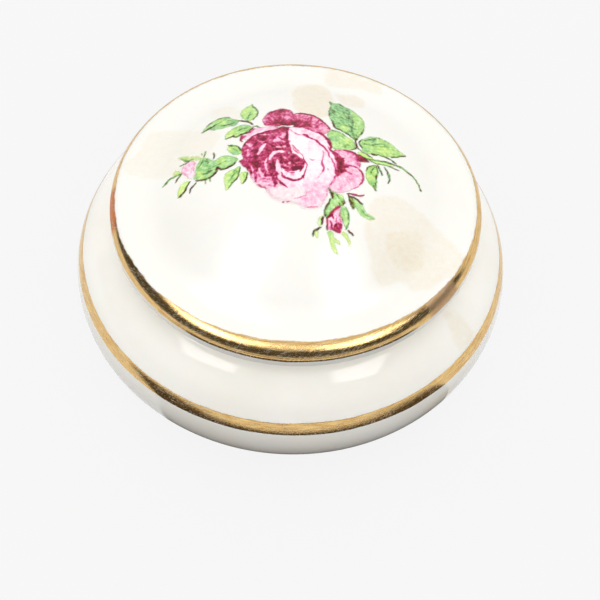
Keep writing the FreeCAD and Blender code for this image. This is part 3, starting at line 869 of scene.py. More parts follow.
        (0.22, 0.66, 0.9, [(4.45, 0.6), (4.6, 0.4), (4.75, 0.2)]),
        # upright fold from the top down to the heart
        (0.55, 0.86, 0.4, [(-1.5, 9.3), (-1.7, 8), (-1.6, 6.8), (-1.45, 5.4), (-1.2, 4.3), (-0.9, 3.4), (-0.1, 2.8)]),
        # arcs around the heart
        (0.42, 0.84, 0.6, [(-4.8, 4.9), (-4.2, 5.4), (-3.4, 5.4), (-2.6, 5.2), (-1.8, 5.6)]),
        (0.42, 0.34, 0.7, [(-3.4, 4.85), (-2.6, 4.8), (-1.8, 4.95)]),
        (0.5, 0.93, 0.7, [(-4.9, 4.5), (-4.2, 4.1), (-3.4, 4.35), (-2.5, 4.4), (-1.7, 4.25)]),
        (0.5, 0.2, 0, [(-2, 3.75), (-2.9, 3.95), (-3.7, 3.6), (-4.2, 2.9), (-4.4, 2.2)]),
        (0.5, 0.76, 0, [(-3.9, 2.6), (-3.4, 3), (-2.6, 2.9)]),
        (0.75, 0.2, 0, [(-3.2, 2), (-3.1, 1), (-2.95, 0), (-2.6, -0.9)]),
        (0.34, 0.24, 0, [(-4.8, 2.6), (-5, 1.5), (-4.9, 0.6), (-4.5, -0.2)]),
        (0.5, 0.93, 0.5, [(-4.4, 1.5), (-4.1, 0.5), (-3.8, -0.3), (-3.4, -1)]),
        (0.34, 0.9, 0.5, [(-3.9, 2), (-3.7, 1), (-3.5, 0.1)]),
        (0.45, 0.9, 0.5, [(-5.4, 0.1), (-4.9, -0.6), (-4.2, -0.95), (-3.8, -0.5)]),
        (0.6, 0.22, 0, [(-5, 5.7), (-5.5, 5), (-5.9, 4.2), (-6.1, 3.5)]),
        (0.6, 0.95, 0.5, [(-6.7, 4), (-6.4, 2.8), (-6.2, 1.4), (-6.4, 0.1)]),
        (0.4, 0.72, 0.1, [(-7.3, 4.4), (-7.2, 3.2), (-7.3, 2)]),
        # pale gaps between the folds
        (0.62, 0.34, 0, [(-3.7, 6.1), (-3, 6.7), (-2.3, 7.2), (-1.9, 7.9)]),
        (0.5, 0.34, 0, [(-8, 6.2), (-7.6, 5.8), (-7.3, 5.2)]),
        (0.34, 0.42, 0, [(-7.9, 4.9), (-7.6, 4.1), (-7.7, 3.3)]),
        (0.4, 0.26, 0, [(-6, 0.7), (-5.8, -0.4), (-5.3, -1.1), (-4.5, -1.4)]),
        (0.3, 0.36, 0, [(-7.2, 1.2), (-7, 0.2), (-6.7, -0.8)]),
        (0.9, 0.2, 0, [(-5.9, -2.1), (-5.2, -2.3), (-4.5, -2.3)]),
        (0.3, 0.46, 0.1, [(-5.6, 8), (-4.6, 7.9), (-3.8, 8.1)]),
        (0.28, 0.5, 0.2, [(-6.3, 6.7), (-5.6, 6.3), (-5, 6.3)]),
        (0.4, 0.4, 0, [(-3.4, 6), (-2.7, 6.3), (-2.1, 6)]),
        (0.3, 0.82, 0.2, [(-2.9, 7.2), (-2.4, 6.6), (-1.9, 6.3)]),
        # ring below the heart and its thin right side
        (0.42, 0.9, 0.45, [(-2.6, -0.5), (-2.2, -1.2), (-1.5, -1.65), (-0.8, -1.9), (0, -1.9), (0.6, -1.45), (0.95, -0.9)]),
        (0.2, 0.86, 0.6, [(0.95, -1.6), (1, -0.6), (1.25, 0.3), (1.5, 1), (1.2, 1.6), (0.9, 2.2), (0.75, 3.1)]),
        (0.2, 0.76, 0.6, [(0.75, 3.1), (0.2, 3.8), (-0.3, 4.6), (-0.7, 5.2), (-1.3, 5.4)]),
        (0.3, 0.88, 0.5, [(0.9, 1.6), (0.7, 0.7), (0.3, -0.3)]),
        (0.25, 0.8, 0.3, [(-2.1, 0), (-1.2, -0.4), (-0.5, -0.5)]),
        (0.2, 0.84, 0.6, [(0.2, 3.4), (-0.3, 3.9), (-0.8, 4.9)]),
        (0.24, 0.5, 0.3, [(-2.2, 1.7), (-1.9, 0.9), (-1.3, 0.6)]),
        # streaks running down from the dark petal
        (0.4, 0.82, 0.1, [(-6.8, 0.4), (-6.5, -0.7), (-6.5, -1.9)]),
        (0.5, 0.86, 0.2, [(-3.8, -0.8), (-3.6, -1.8), (-3.4, -2.6), (-3.6, -3.1)]),
        (0.24, 0.64, 0.1, [(-6, -0.6), (-5.5, -1.2), (-4.8, -1.5), (-4, -1.6)]),
        (0.3, 0.9, 0.6, [(-3.3, -1.2), (-3.1, -1.9), (-2.6, -2.5), (-2, -2.95), (-1.6, -3.2)]),
        (0.24, 0.72, 0.2, [(-4.6, -2.7), (-3.9, -3), (-3.3, -3.1)]),
        (0.18, 0.72, 0.9, [(-6.1, -2.5), (-5.6, -3), (-4.7, -3.3)]),
        (0.24, 0.6, 0.2, [(-5.4, -1.9), (-4.6, -2.2), (-4.1, -2.2)]),
        (0.32, 0.9, 0.7, [(-1.4, 9.4), (-3, 9), (-4.8, 8.6), (-6.3, 8), (-7.4, 7.2), (-8.2, 6.2)]),
        (0.26, 0.8, 0.3, [(-8.2, 6.2), (-8.6, 5), (-8.6, 3.8)]),
        (0.3, 0.92, 0.6, [(-7.7, 1.3), (-7.3, 0.4), (-7, -0.4)]),
        # outlines of the side petal
        (0.32, 0.72, 0.1, [(7.2, 1.8), (8, 1.7), (8.9, 1.6), (9.5, 1.1)]),
        (0.32, 0.84, 0.5, [(9.4, 1.3), (9.9, 0.6), (10.1, -0.4), (9.9, -1.2), (9.5, -1.9)]),
        (0.2, 0.6, 0.3, [(9.6, -1.8), (9.1, -2.4), (8.5, -2.8)]),
        (0.36, 0.86, 0.7, [(7.2, 4.75), (8.1, 4.75), (9, 4.4)]),
        (0.32, 0.84, 0.5, [(5.2, 4.5), (6, 3.8), (6.7, 3.1), (7.4, 3)]),
        (0.2, 0.55, 0.1, [(5.9, -0.7), (5.6, -1.6), (5, -2.6)]),
        (0.18, 0.56, 0.2, [(7.4, 0.3), (8, 0.2), (8.4, 0)]),
        (0.22, 0.76, 0.4, [(-8.9, 7.7), (-8.8, 7.1), (-8.5, 6.6)]),
        (0.34, 0.7, 0.3, [(-7.6, 8.6), (-7.1, 9), (-6.7, 9.6)]),
        # lower petals
        (0.17, 0.6, 0.3, [(1.3, -4.2), (1, -4.7), (0.3, -5), (-0.5, -5.2)]),
        (0.22, 0.82, 0.9, [(-2.4, -5.85), (-2.1, -5.9)]),
        (0.18, 0.76, 0.9, [(-1.6, -5.75), (-1.3, -5.8)]),
        (0.18, 0.74, 0.9, [(1.4, -6.8), (2, -6.7), (2.9, -6.6)]),
        (0.16, 0.5, 0.2, [(4.4, -3.3), (4.3, -4), (4.4, -4.6)]),
    ],
}


leafMarks = {
    "areas": [
        # three leaves at the upper left
        ((-9.2, 12), (0.5, 0.46, 0.42, 0.4), 0.3,
         [(-9.2, 12.2), (-10, 12.9), (-11, 13.4), (-12, 13.6), (-13, 13.2), (-13.8, 12.4), (-14.6, 11.6),
          (-14.9, 10.8), (-13.9, 11.1), (-13, 10.9), (-12, 10.7), (-11, 10.8), (-10, 11.2), (-9.3, 11.7)]),
        ((-7.5, 11.8), (0.5, 0.42, 0.36, 0.4), 0.6,
         [(-7.6, 11.8), (-8.5, 12.6), (-8.95, 13.6), (-8.8, 14.6), (-8.2, 15.6), (-7.5, 16.3), (-7.2, 16.7),
          (-6.9, 15.8), (-6.5, 15), (-6.3, 14), (-6.4, 13), (-6.9, 12.2)]),
        ((-7.1, 10), (0.52, 0.46, 0.4, 0.34), 0.6,
         [(-7.1, 10.1), (-7.9, 10.7), (-8.9, 10.8), (-9.9, 10.4), (-10.7, 9.7), (-11.2, 8.9), (-11.2, 7.9),
          (-10.6, 8.1), (-9.9, 8.2), (-9.2, 8.1), (-8.4, 8.5), (-7.6, 9.1), (-7, 9.7)]),
        # small leaf beside the flower and the calyx of the left bud
        ((-8.9, 4), (0.48, 0.4, 0.34), 0.7,
         [(-8.9, 4), (-9.6, 3.9), (-10.3, 4.4), (-10.8, 5.1), (-10.9, 5.9), (-10.5, 6.3), (-9.7, 6), (-9.1, 5.4),
          (-8.8, 4.7)]),
        ((-9.2, 2.8), (0.46, 0.42, 0.46, 0.4), 0.35,
         [(-9.2, 3), (-10, 3.6), (-11, 3.95), (-12, 3.9), (-12.8, 3.4), (-13.6, 3.8), (-14.2, 4.3), (-15, 4.4),
          (-15.4, 3.6), (-15.7, 2.6), (-15.9, 1.4), (-15.9, 0.4), (-15, 0), (-14, 0.1), (-13.2, 0.6), (-12.7, 1.3),
          (-12.4, 1.9), (-11.8, 1.5), (-11, 1.5), (-10.2, 1.9), (-9.6, 2.4)]),
        ((-15, 4.4), (0.3, 0.24, 0.34), 0.9,
         [(-14.9, 4.4), (-15.6, 5), (-16.6, 5.3), (-17.6, 5.8), (-18.6, 5.9), (-18.2, 5.2), (-17.4, 4.7), (-16.6, 4.4),
          (-15.8, 4.4)], 0, 0.25, 0.8),
        ((-18, 2.1), (0.3, 0.24), 1,
         [(-18.2, 2.2), (-18.5, 3), (-19, 3.2), (-19.3, 2.7), (-19, 2.1)], 0, 0.25, 0.8),
        ((-16.5, 0.2), (0.25, 0.3, 0.34), 1,
         [(-16.6, 0.2), (-17.2, 0.4), (-17.8, 0.1), (-18.3, -0.7), (-18.5, -1.4), (-18.5, -2.1), (-17.9, -1.8),
          (-17.3, -1.1), (-16.9, -0.4)]),
        # two small leaves below it
        ((-9, 1.4), (0.5, 0.42, 0.32, 0.26), 0.8,
         [(-9, 1.4), (-9.7, 1.1), (-10.5, 0.7), (-11.1, 0), (-11.3, -0.9), (-11.1, -1.9), (-10.9, -2.9), (-10.4, -2.1),
          (-9.8, -1.3), (-9.3, -0.5), (-9, 0.4)]),
        ((-8, 0.2), (0.4, 0.3, 0.24), 0.9,
         [(-8, 0.2), (-8.6, 0.1), (-8.9, -0.6), (-8.8, -1.4), (-8.5, -2), (-8.1, -1.4), (-7.8, -0.8), (-7.8, -0.2)]),
        # large leaf at the upper right, its left half bluer
        ((9, 7.6), (0.5, 0.5, 0.56, 0.56, 0.52), 0.1,
         [(9, 7.4), (8.6, 8.1), (8, 8.8), (7.2, 9.3), (6.5, 9.8), (6, 10.6), (5.5, 11.8), (5.2, 13), (5.3, 13.9),
          (5.25, 14.5), (5.5, 15.6), (5.6, 17.6), (6.1, 17.1), (6.9, 17.2), (7.6, 16.5), (8.6, 15.9), (9.4, 15),
          (10.1, 14), (10.6, 12.8), (10.8, 11.6), (10.7, 10.6), (10.4, 9.6), (10, 8.8), (9.5, 8)]),
        ((9.1, 7.8), (0.5, 0.46, 0.44, 0.46), 0.5,
         [(9.2, 7.8), (8.9, 9.2), (8.9, 10.6), (9, 12), (8.8, 13.5), (8.9, 15.2), (9.5, 14.8), (10.1, 14), (10.6, 12.8),
          (10.8, 11.6), (10.7, 10.6), (10.4, 9.6), (10, 8.8)], 0, 0.25),
        # leaf against the flower
        ((9, 5.6), (0.5, 0.38, 0.42, 0.5), 0.55,
         [(5.3, 9.2), (6, 9.1), (6.8, 8.9), (7.6, 8.3), (8.4, 7.5), (9, 6.6), (9, 5.8), (8.6, 5.2), (7.8, 4.9),
          (6.8, 4.9), (5.6, 4.9), (5.3, 5.8), (5.2, 6.8), (4.8, 7.8), (4.8, 8.6)]),
        # right leaf
        ((10.2, 5.8), (0.46, 0.42, 0.42, 0.42, 0.4), 0.65,
         [(10.1, 5.9), (9.8, 6.8), (10.1, 7.6), (10.8, 8.2), (11.7, 8.8), (12.5, 9.2), (12.9, 9), (13.6, 9.15),
          (13.9, 8.8), (14.5, 8.7), (15.2, 8.1), (16, 7.4), (17.2, 6.4), (16.2, 6), (15.4, 5.5), (14.4, 5.2),
          (13.2, 5), (12, 4.9), (11, 5), (10.4, 5.4)]),
        # leaf hanging from the stem
        ((12.3, 2.6), (0.5, 0.42, 0.38, 0.5), 0.8,
         [(12.3, 2.6), (11.6, 2.5), (10.9, 1.8), (10.6, 0.8), (10.6, -0.3), (11, -1.2), (11.6, -1.8), (12, -2.4),
          (12.2, -1.4), (12.2, -0.2), (12.5, 0.8), (12.5, 1.8)]),
        # calyx and sepals of the lower bud
        ((5.2, -3.6), (0.46, 0.4, 0.44, 0.46), 0.45,
         [(5.2, -3.6), (6, -4), (6.8, -4.3), (7.1, -4.9), (6.9, -5.6), (6.4, -6.2), (5.9, -6.1), (5.2, -7), (4.7, -7.8),
          (4.3, -8.3), (4.1, -7.4), (4.3, -6.7), (4.8, -6), (5.1, -5), (5.2, -4.2)]),
        ((6.6, -6.2), (0.4, 0.42, 0.36, 0.3), 0.5,
         [(6.6, -6.2), (7.3, -6.3), (7.7, -7), (7.7, -8), (7.6, -9), (7.4, -9.9), (7.1, -9.4), (6.9, -8.6), (6.5, -7.8),
          (6.4, -7)]),
        ((5, -10.4), (0.36, 0.3, 0.28, 0.26), 0.85,
         [(4.4, -10.8), (5, -10.4), (5.4, -10.8), (5.5, -11.4), (6.2, -12), (6.4, -12.5), (5.9, -12.3), (5.5, -12),
          (5.7, -13), (5.9, -13.9), (5.4, -13.7), (5, -13), (4.8, -12), (4.6, -11.4)], 0, 0.18),
        ((6.8, -10.4), (0.28, 0.24, 0.24), 1,
         [(6.7, -10.4), (7.3, -10.5), (7.6, -11.1), (7.9, -11.8), (7.8, -12.5), (7.4, -11.7), (6.9, -11.1),
          (6.6, -10.8)], 0, 0.2),
        ((3.6, -8), (0.22, 0.18), 0.6,
         [(3.7, -8), (3.3, -8.4), (2.9, -9.3), (3.1, -9.8), (3.5, -9.2)], 0, 0.2),
        ((2.9, -10.4), (0.2, 0.24), 1,
         [(2.9, -10.4), (2.5, -11.2), (2.8, -11.6), (3.1, -10.9)], 0, 0.2),
        # brown leaf and green leaf beside the lower bud
        ((8, -4.3), (0.86, 0.72, 0.8), 0.9,
         [(7.9, -4.3), (8, -5.2), (8.2, -6), (8.4, -6.5), (8.7, -5.9), (8.7, -5.2), (8.5, -4.6)]),
        ((8.6, -4.6), (0.44, 0.36, 0.36, 0.3), 0.45,
         [(8.6, -4.6), (9.1, -4.9), (9.7, -5.4), (10.1, -6), (10.4, -6.7), (11, -7.1), (11.8, -7.5), (10.9, -7.7),
          (9.9, -7.4), (9.2, -6.8), (8.8, -6), (8.6, -5.3)], 0, 0.2),
    ],
    "dabs": [
        ((-12, 12.4), 1.3, 0.42, 0.95), ((-10, 11.5), 0.9, 0.54, 0), ((-13, 11.2), 0.8, 0.5, 0),
        ((-8.1, 14.7), 0.9, 0.3, 1), ((-8.2, 13), 0.7, 0.36, 0.8), ((-10.4, 9.1), 1, 0.33, 1),
        ((-8.5, 10.4), 0.8, 0.48, 0), ((-9.6, 4.4), 0.8, 0.52, 0), ((-10.4, 5.6), 0.5, 0.3, 1),
        ((-14.3, 3.4), 1, 0.62, 0.1), ((-13.3, 2.6), 0.9, 0.52, 0), ((-11.7, 3), 1, 0.42, 0.9),
        ((-10.4, 3), 0.7, 0.46, 0), ((-15.2, 1.4), 0.8, 0.34, 1), ((-13.9, 1.5), 0.6, 0.66, 0.2),
        ((-14.8, 0.5), 0.7, 0.34, 1), ((-9.5, 0.4), 0.6, 0.74, 0.5), ((-10.2, -0.9), 0.6, 0.48, 0),
        ((-11, -0.6), 0.5, 0.26, 1), ((7.6, 10.2), 1.3, 0.34, 1), ((6.5, 15.6), 1, 0.54, 0),
        ((7.3, 13.4), 1.4, 0.56, 0.35), ((9.7, 13.4), 1, 0.44, 0.6), ((9.2, 10.3), 0.5, 0.56, 0),
        ((8.1, 7), 1, 0.34, 1), ((5.7, 7.2), 1.1, 0.5, 0), ((7.4, 5.6), 0.7, 0.68, 0.5),
        ((6.9, 8), 0.6, 0.4, 0.5), ((12, 8.1), 1.3, 0.58, 0.1), ((13.8, 6.4), 1.8, 0.34, 1),
        ((14.3, 7.9), 1, 0.5, 0.4), ((10.9, 5.8), 0.7, 0.46, 0), ((10.4, 7), 0.5, 0.7, 0.1),
        ((11.3, 0.2), 0.8, 0.34, 0.9), ((11.7, -1), 0.6, 0.46, 0.2), ((5.7, -5.5), 0.6, 0.36, 0.35),
        ((6.6, -4.4), 0.4, 0.28, 0.9), ((4.7, -6.8), 0.5, 0.5, 0), ((7, -6.7), 0.6, 0.42, 0),
        ((5, -10.9), 0.5, 0.4, 0), ((9.3, -5.8), 0.7, 0.42, 0.1), ((10, -6.8), 0.6, 0.4, 0.6),
        ((6.75, -5.5), 0.55, 0.84, 0.8), ((19.4, -0.1), 0.34, 0.95, 0.5),
    ],
    "strokes": [
        # upper left leaves
        (0.26, 0.76, 0.5, [(-14.4, 12), (-13.6, 12.9), (-12.6, 13.5), (-11.6, 13.7), (-10.6, 13.4)]),
        (0.36, 0.88, 0.6, [(-15.1, 10.7), (-14, 11.3), (-13, 12), (-12, 12.7)]),
        (0.22, 0.7, 0.2, [(-12.6, 11.6), (-11.4, 11.4), (-10.2, 11.5), (-9.4, 11.9)]),
        (0.24, 0.66, 0.1, [(-11.1, 12.7), (-10.2, 12.5), (-9.3, 12.2)]),
        (0.38, 0.93, 0.6, [(-9.4, 12.2), (-8.6, 11.9), (-7.9, 11.6), (-7.3, 11.2), (-6.9, 10.7)]),
        (0.3, 0.76, 0.2, [(-7.7, 12.1), (-7.6, 13), (-7.4, 14.3)]),
        (0.27, 0.85, 0.5, [(-7.1, 16.6), (-6.9, 15.7), (-6.4, 14.8), (-6.2, 13.9), (-6.5, 12.8), (-6.9, 11.9)]),
        (0.25, 0.72, 0.4, [(-7.5, 10), (-8.4, 9.9), (-9.2, 9.6), (-9.9, 9.3)]),
        (0.34, 0.95, 0.6, [(-11.2, 7.9), (-10.6, 8.1), (-10.1, 8.3), (-9.5, 8.1), (-8.8, 8.4), (-8, 8.7), (-7.3, 9.2),
                           (-6.9, 9.9)]),
        (0.22, 0.88, 0.7, [(-6.9, 10.2), (-6.4, 10.1), (-5.7, 9.6)]),
        # small leaf, calyx and sepals on the left
        (0.3, 0.9, 0.5, [(-10.8, 6.3), (-10.2, 6), (-9.6, 5.8), (-9.1, 5.3), (-8.8, 4.6)]),
        (0.18, 0.7, 0.5, [(-10.1, 5.4), (-9.6, 4.9), (-9.2, 4.4)]),
        (0.38, 0.96, 0.6, [(-9.6, 2.3), (-10.4, 1.7), (-11.3, 1.35), (-12, 1.5), (-12.4, 1.8), (-12.6, 1.1), (-13.1, 0.4),
                           (-13.8, 0), (-14.8, -0.15), (-15.8, 0)]),
        (0.22, 0.78, 0.3, [(-14.6, 4.2), (-14.8, 3.4), (-15.3, 2.7)]),
        (0.3, 0.72, 0.2, [(-12.6, 2.2), (-13.6, 1.9), (-14.5, 1.7)]),
        (0.22, 0.76, 0.3, [(-14.9, 1.2), (-14, 1), (-13.1, 1.5)]),
        (0.24, 0.72, 0.2, [(-14.2, 4), (-13.9, 3.2), (-14.2, 2.6)]),
        (0.2, 0.76, 0.6, [(-12.3, 2.3), (-11.7, 2.7), (-11, 2.9)]),
        (0.2, 0.84, 0.8, [(-14.4, 5.9), (-14.4, 5.2), (-14.6, 4.5)]),
        (0.24, 0.86, 0.8, [(-13.1, 5.1), (-12.85, 4.5), (-13, 3.8)]),
        (0.16, 0.66, 0.8, [(-15.1, 5.6), (-14.9, 5.1)]),
        (0.17, 0.7, 0.9, [(-14.2, -0.2), (-14.2, -1)]),
        (0.18, 0.74, 0.9, [(-13.6, -0.1), (-13.4, -0.7)]),
        (0.3, 0.82, 0.4, [(-18.2, 5.3), (-17.6, 4.8), (-17, 4.6), (-16.3, 4.7)]),
        (0.23, 0.92, 0.6, [(-18.3, 3.9), (-17.7, 4.1), (-17.1, 4.3), (-16.9, 4.5)]),
        (0.36, 0.7, 0.4, [(-20.9, 0.6), (-20.3, 1.4), (-19.5, 1.9), (-18.7, 2.1), (-18, 2.2)]),
        (0.25, 0.92, 0.6, [(-18.1, 2.1), (-18.6, 1.5), (-19, 0.6)]),
        (0.34, 0.94, 0.6, [(-18.5, -2.3), (-17.9, -2), (-17.4, -1.4), (-17, -0.5), (-16.5, 0.2)]),
        (0.25, 0.92, 0.7, [(-16.7, -2.1), (-16.5, -1.4), (-16.1, -0.8), (-15.7, -0.4)]),
        (0.25, 0.84, 0.5, [(-9, 1.4), (-9, 0.2), (-9.4, -0.9), (-10, -1.6), (-10.7, -2.5)]),
        (0.22, 0.74, 0.4, [(-9.9, 0.8), (-9.8, 0), (-10.3, -0.7)]),
        (0.27, 0.9, 0.6, [(-7.8, 0), (-7.9, -0.9), (-8.2, -1.6), (-8.4, -2)]),
        (0.2, 0.82, 0.6, [(-8.4, -0.2), (-8.3, -0.9)]),
        # large leaf
        (0.34, 0.88, 0.6, [(9, 7.6), (8.5, 8.4), (7.8, 9), (7, 9.4), (6.2, 10), (5.8, 11), (5.4, 12.2)]),
        (0.27, 0.8, 0.3, [(5.2, 12.9), (5.15, 13.5), (5.3, 14)]),
        (0.25, 0.74, 0.2, [(5.2, 14.2), (5.45, 14.9), (5.4, 15.6)]),
        (0.36, 0.72, 0.2, [(5.7, 16.6), (5.6, 17.6)]),
        (0.32, 0.76, 0.1, [(9.1, 7.6), (8.8, 9.2), (8.7, 10.6), (9, 12), (9.05, 12.8)]),
        (0.2, 0.68, 0.5, [(9.3, 8), (9.5, 9.4), (9.8, 10.6)]),
        (0.3, 0.7, 0.1, [(8.3, 12.3), (8.3, 13.6), (8.6, 15)]),
        (0.42, 0.7, 0.5, [(8.5, 10.6), (7.8, 10.9), (7, 11.2), (6.4, 11.7)]),
        (0.24, 0.68, 0.2, [(8.2, 12.2), (7.4, 12.6), (6.6, 13.4)]),
        (0.24, 0.66, 0.2, [(8.3, 14), (7.6, 14.6), (7, 15.4)]),
        (0.27, 0.84, 0.6, [(9.2, 7.4), (9.7, 8.6), (10.3, 9.6), (10.7, 10.8)]),
        (0.32, 0.72, 0.2, [(6.9, 17.2), (7.3, 16.6), (7.7, 16.1)]),
        (0.3, 0.92, 0.6, [(9.2, 7.8), (9.2, 6.8), (9.3, 5.9), (9.8, 5.4)]),
        # leaf against the flower
        (0.23, 0.8, 0.4, [(5.2, 9.2), (6.2, 9), (7, 8.7), (7.8, 7.9)]),
        (0.2, 0.68, 0.7, [(7.2, 6.2), (8, 6.1), (8.6, 5.8)]),
        (0.2, 0.62, 0.2, [(6.6, 8), (6.4, 7), (6.7, 6)]),
        (0.27, 0.88, 0.7, [(8.5, 5.1), (9.1, 5.5), (9.4, 6.2)]),
        # right leaf
        (0.32, 0.88, 0.4, [(10.3, 8), (9.9, 7.2), (9.9, 6.5), (10.2, 5.9)]),
        (0.22, 0.7, 0.3, [(10.6, 6.9), (11.8, 7.2), (13, 7.6), (13.8, 7.9)]),
        (0.27, 0.76, 0.2, [(10.4, 7.5), (11.4, 8.1), (12.4, 8.8)]),
        (0.25, 0.74, 0.2, [(13, 9.2), (13.3, 8.8)]),
        (0.27, 0.74, 0.2, [(13.9, 8.9), (14.2, 8.5)]),
        (0.2, 0.66, 0.7, [(11.5, 6.9), (12.8, 7), (14, 7.3)]),
        (0.32, 0.93, 0.7, [(17.2, 6.4), (16.4, 6), (15.6, 5.5), (14.8, 5.1)]),
        (0.36, 0.9, 0.7, [(12.7, 5.1), (12.1, 4.8), (11.6, 5)]),
        # stem and its branches
        (0.85, 0.28, 1, [(9.6, 4.7), (10.6, 4.2), (11.8, 3.7)]),
        (0.5, 0.26, 0.9, [(11.4, 3.4), (13, 3.3), (15, 3.4)]),
        (0.28, 0.84, 0.6, [(9.8, 5.4), (10.8, 4.7), (11.8, 4.1)]),
        (0.36, 0.78, 0.5, [(9.6, 4.3), (10.6, 3.7), (11.6, 3.6), (13, 3.7), (14.6, 3.75), (15.9, 3.5), (17, 3.1),
                           (18, 2.4), (18.8, 1.4), (19.4, 0)]),
        (0.27, 0.84, 0.6, [(11.9, 5), (13, 5.05), (14.2, 4.8), (15, 4.4), (15.5, 4)]),
        (0.24, 0.8, 0.6, [(11.4, 3.3), (12.6, 3), (14, 3.1), (15.2, 2.8), (15.9, 2.6)]),
        (0.27, 0.88, 0.6, [(12.3, 2.6), (11.5, 2.4), (10.9, 1.8), (10.6, 1)]),
        (0.24, 0.74, 0.4, [(12.1, 2.3), (11.5, 1.4), (11.3, 0.5)]),
        (0.26, 0.84, 0.5, [(12.3, 2.4), (12.5, 1.4), (12.2, 0.5), (12.1, -0.6), (12, -1.8)]),
        (0.3, 0.93, 0.5, [(11.7, -1.4), (11.9, -2), (12.1, -2.5)]),
        (0.3, 0.8, 0.2, [(12.5, 2.7), (12.9, 1.9), (13.3, 0.7)]),
        (0.3, 0.8, 0.2, [(13.6, 2.6), (14.1, 1.6), (14.35, 0.6), (14.1, -0.5)]),
        # lower bud
        (0.48, 0.96, 0.8, [(4.5, -2.9), (4.9, -3.5), (5.3, -4.2), (5.35, -5)]),
        (0.34, 0.9, 0.4, [(5, -5.1), (4.8, -5.8), (4.4, -6.4), (4.15, -7.1), (4.2, -8)]),
        (0.22, 0.78, 0.4, [(6, -4.2), (6.3, -4.8)]),
        (0.24, 0.95, 0.7, [(7.1, -5), (7.15, -5.5), (6.8, -5.95), (6.4, -6), (6.3, -5.6)]),
        (0.27, 0.76, 0.2, [(7.3, -6.3), (7.7, -7.2), (7.6, -8.4), (7.5, -9.4), (7.3, -9.9)]),
        (0.24, 0.86, 0.5, [(6.4, -7.4), (6.5, -8.2), (6.9, -8.9)]),
        (0.27, 0.92, 0.8, [(7.6, -10), (7.9, -10.4), (8.5, -10.8)]),
        (0.38, 0.9, 0.7, [(3.9, -8.1), (3.7, -8.7), (3.5, -9.5)]),
        (0.3, 0.9, 0.5, [(3.4, -9.9), (2.9, -10.3), (2.4, -10.7), (2.2, -11.4)]),
        (0.22, 0.44, 0.9, [(4.8, -11.2), (5.1, -12.2), (5.5, -13.4)]),
        (0.3, 0.92, 0.8, [(7.6, -3.8), (7.9, -4.3), (8.5, -4.3), (9, -4.6), (9.4, -5), (9.9, -5.4)]),
        (0.24, 0.93, 0.8, [(7.95, -4.4), (8, -5.3), (8.35, -6.4)]),
        (0.2, 0.56, 0.2, [(9, -5.2), (9.6, -6.1), (10.3, -7), (11.4, -7.5)]),
    ],
}

budMarks = {
    "areas": [
        ((-16, 1), (0.14, 0.2, 0.3, 0.24), 0.1,
         [(-15.9, 0.9), (-16.1, 2.4), (-15.9, 3.6), (-16.3, 4.3), (-17, 4.3), (-17.7, 3.8), (-17.9, 3), (-17.9, 2.1),
          (-17.3, 1.6), (-17, 1), (-16.4, 0.7)], 0, 0.2),
        ((6, -6.8), (0.3, 0.2, 0.22, 0.4), 0.1,
         [(6.3, -6.5), (5.6, -7), (5.1, -7.9), (4.5, -8.5), (4.4, -9.4), (4.6, -10.3), (5.2, -10.2), (5.6, -10.4),
          (6.4, -10.5), (6.6, -9.6), (6.8, -8.9), (6.4, -7.8)]),
        ((5.9, -10), (0.9, 0.8, 0.86), 0.5,
         [(5.4, -9.5), (6.1, -9), (6.7, -9.3), (6.5, -10), (6.4, -10.6), (5.5, -10.4)]),
    ],
    "dabs": [
        ((-16.6, 3.4), 0.6, 0.36, 0), ((-16.9, 2.1), 0.5, 0.12, 0), ((5.9, -9.7), 0.35, 0.62, 0),
        ((4.6, -9.2), 0.5, 0.34, 0.6), ((5.7, -9.9), 0.35, 0.8, 1), ((5.6, -8.4), 0.5, 0.2, 0),
    ],
    "strokes": [
        (0.52, 0.86, 0.9, [(6.4, -6.2), (5.8, -6.6), (5.3, -7.2), (4.8, -7.9), (4.4, -8.4)]),
        (0.2, 0.4, 0.9, [(6.3, -6.5), (5.6, -7.1), (5.2, -7.8)]),
        (0.3, 0.82, 0.4, [(5.3, -7.2), (5.15, -7.9), (5.35, -8.4)]),
        (0.24, 0.92, 0.6, [(4.4, -8.4), (4.5, -9.2), (4.3, -9.9), (4.4, -10.4)]),
        (0.27, 0.82, 0.3, [(4.8, -8.7), (5, -9.4), (5.1, -9.9), (5.5, -10.3)]),
        (0.2, 0.66, 0.2, [(6.4, -7.3), (6.3, -8.2), (6.6, -9)]),
        (0.16, 0.62, 0.1, [(5.8, -8.6), (5.9, -9.2)]),
        (0.17, 0.5, 0, [(5.5, -7.6), (5.8, -8.2), (5.7, -9)]),
        (0.32, 0.88, 0.5, [(7.6, -3.9), (8.2, -3.75), (9, -3.85), (9.7, -3.85), (10.2, -3.5)]),
        (0.17, 0.4, 0.1, [(-17.6, 2.1), (-17.2, 1.6), (-16.8, 1)]),
        (0.16, 0.44, 0.1, [(-16.1, 3.6), (-16.5, 2.6), (-16.6, 1.6)]),
    ],
}


def makeSpray():
    for name, corners, marks, layer, enamel in (
            ("roseLeaves", ((-21.4, -14.4), (20.2, 18.2)), leafMarks, 0, leafEnamel),
            ("roseBuds", ((-18.4, -11), (10.8, 4.9)), budMarks, 1, roseEnamel),
            ("roseBloom", ((-9.6, -7.3), (11.6, 14.9)), bloomMarks, 2, roseEnamel)):
        sheet = newSheet(*corners)
        paintMarks(sheet, marks)
        piece = laySheet(name, sheet, layer, enamel, nodes=["rose_transfer"] if name == "roseBloom" else [])
        print(name, len(piece.data.polygons), "faces")


makeSpray()


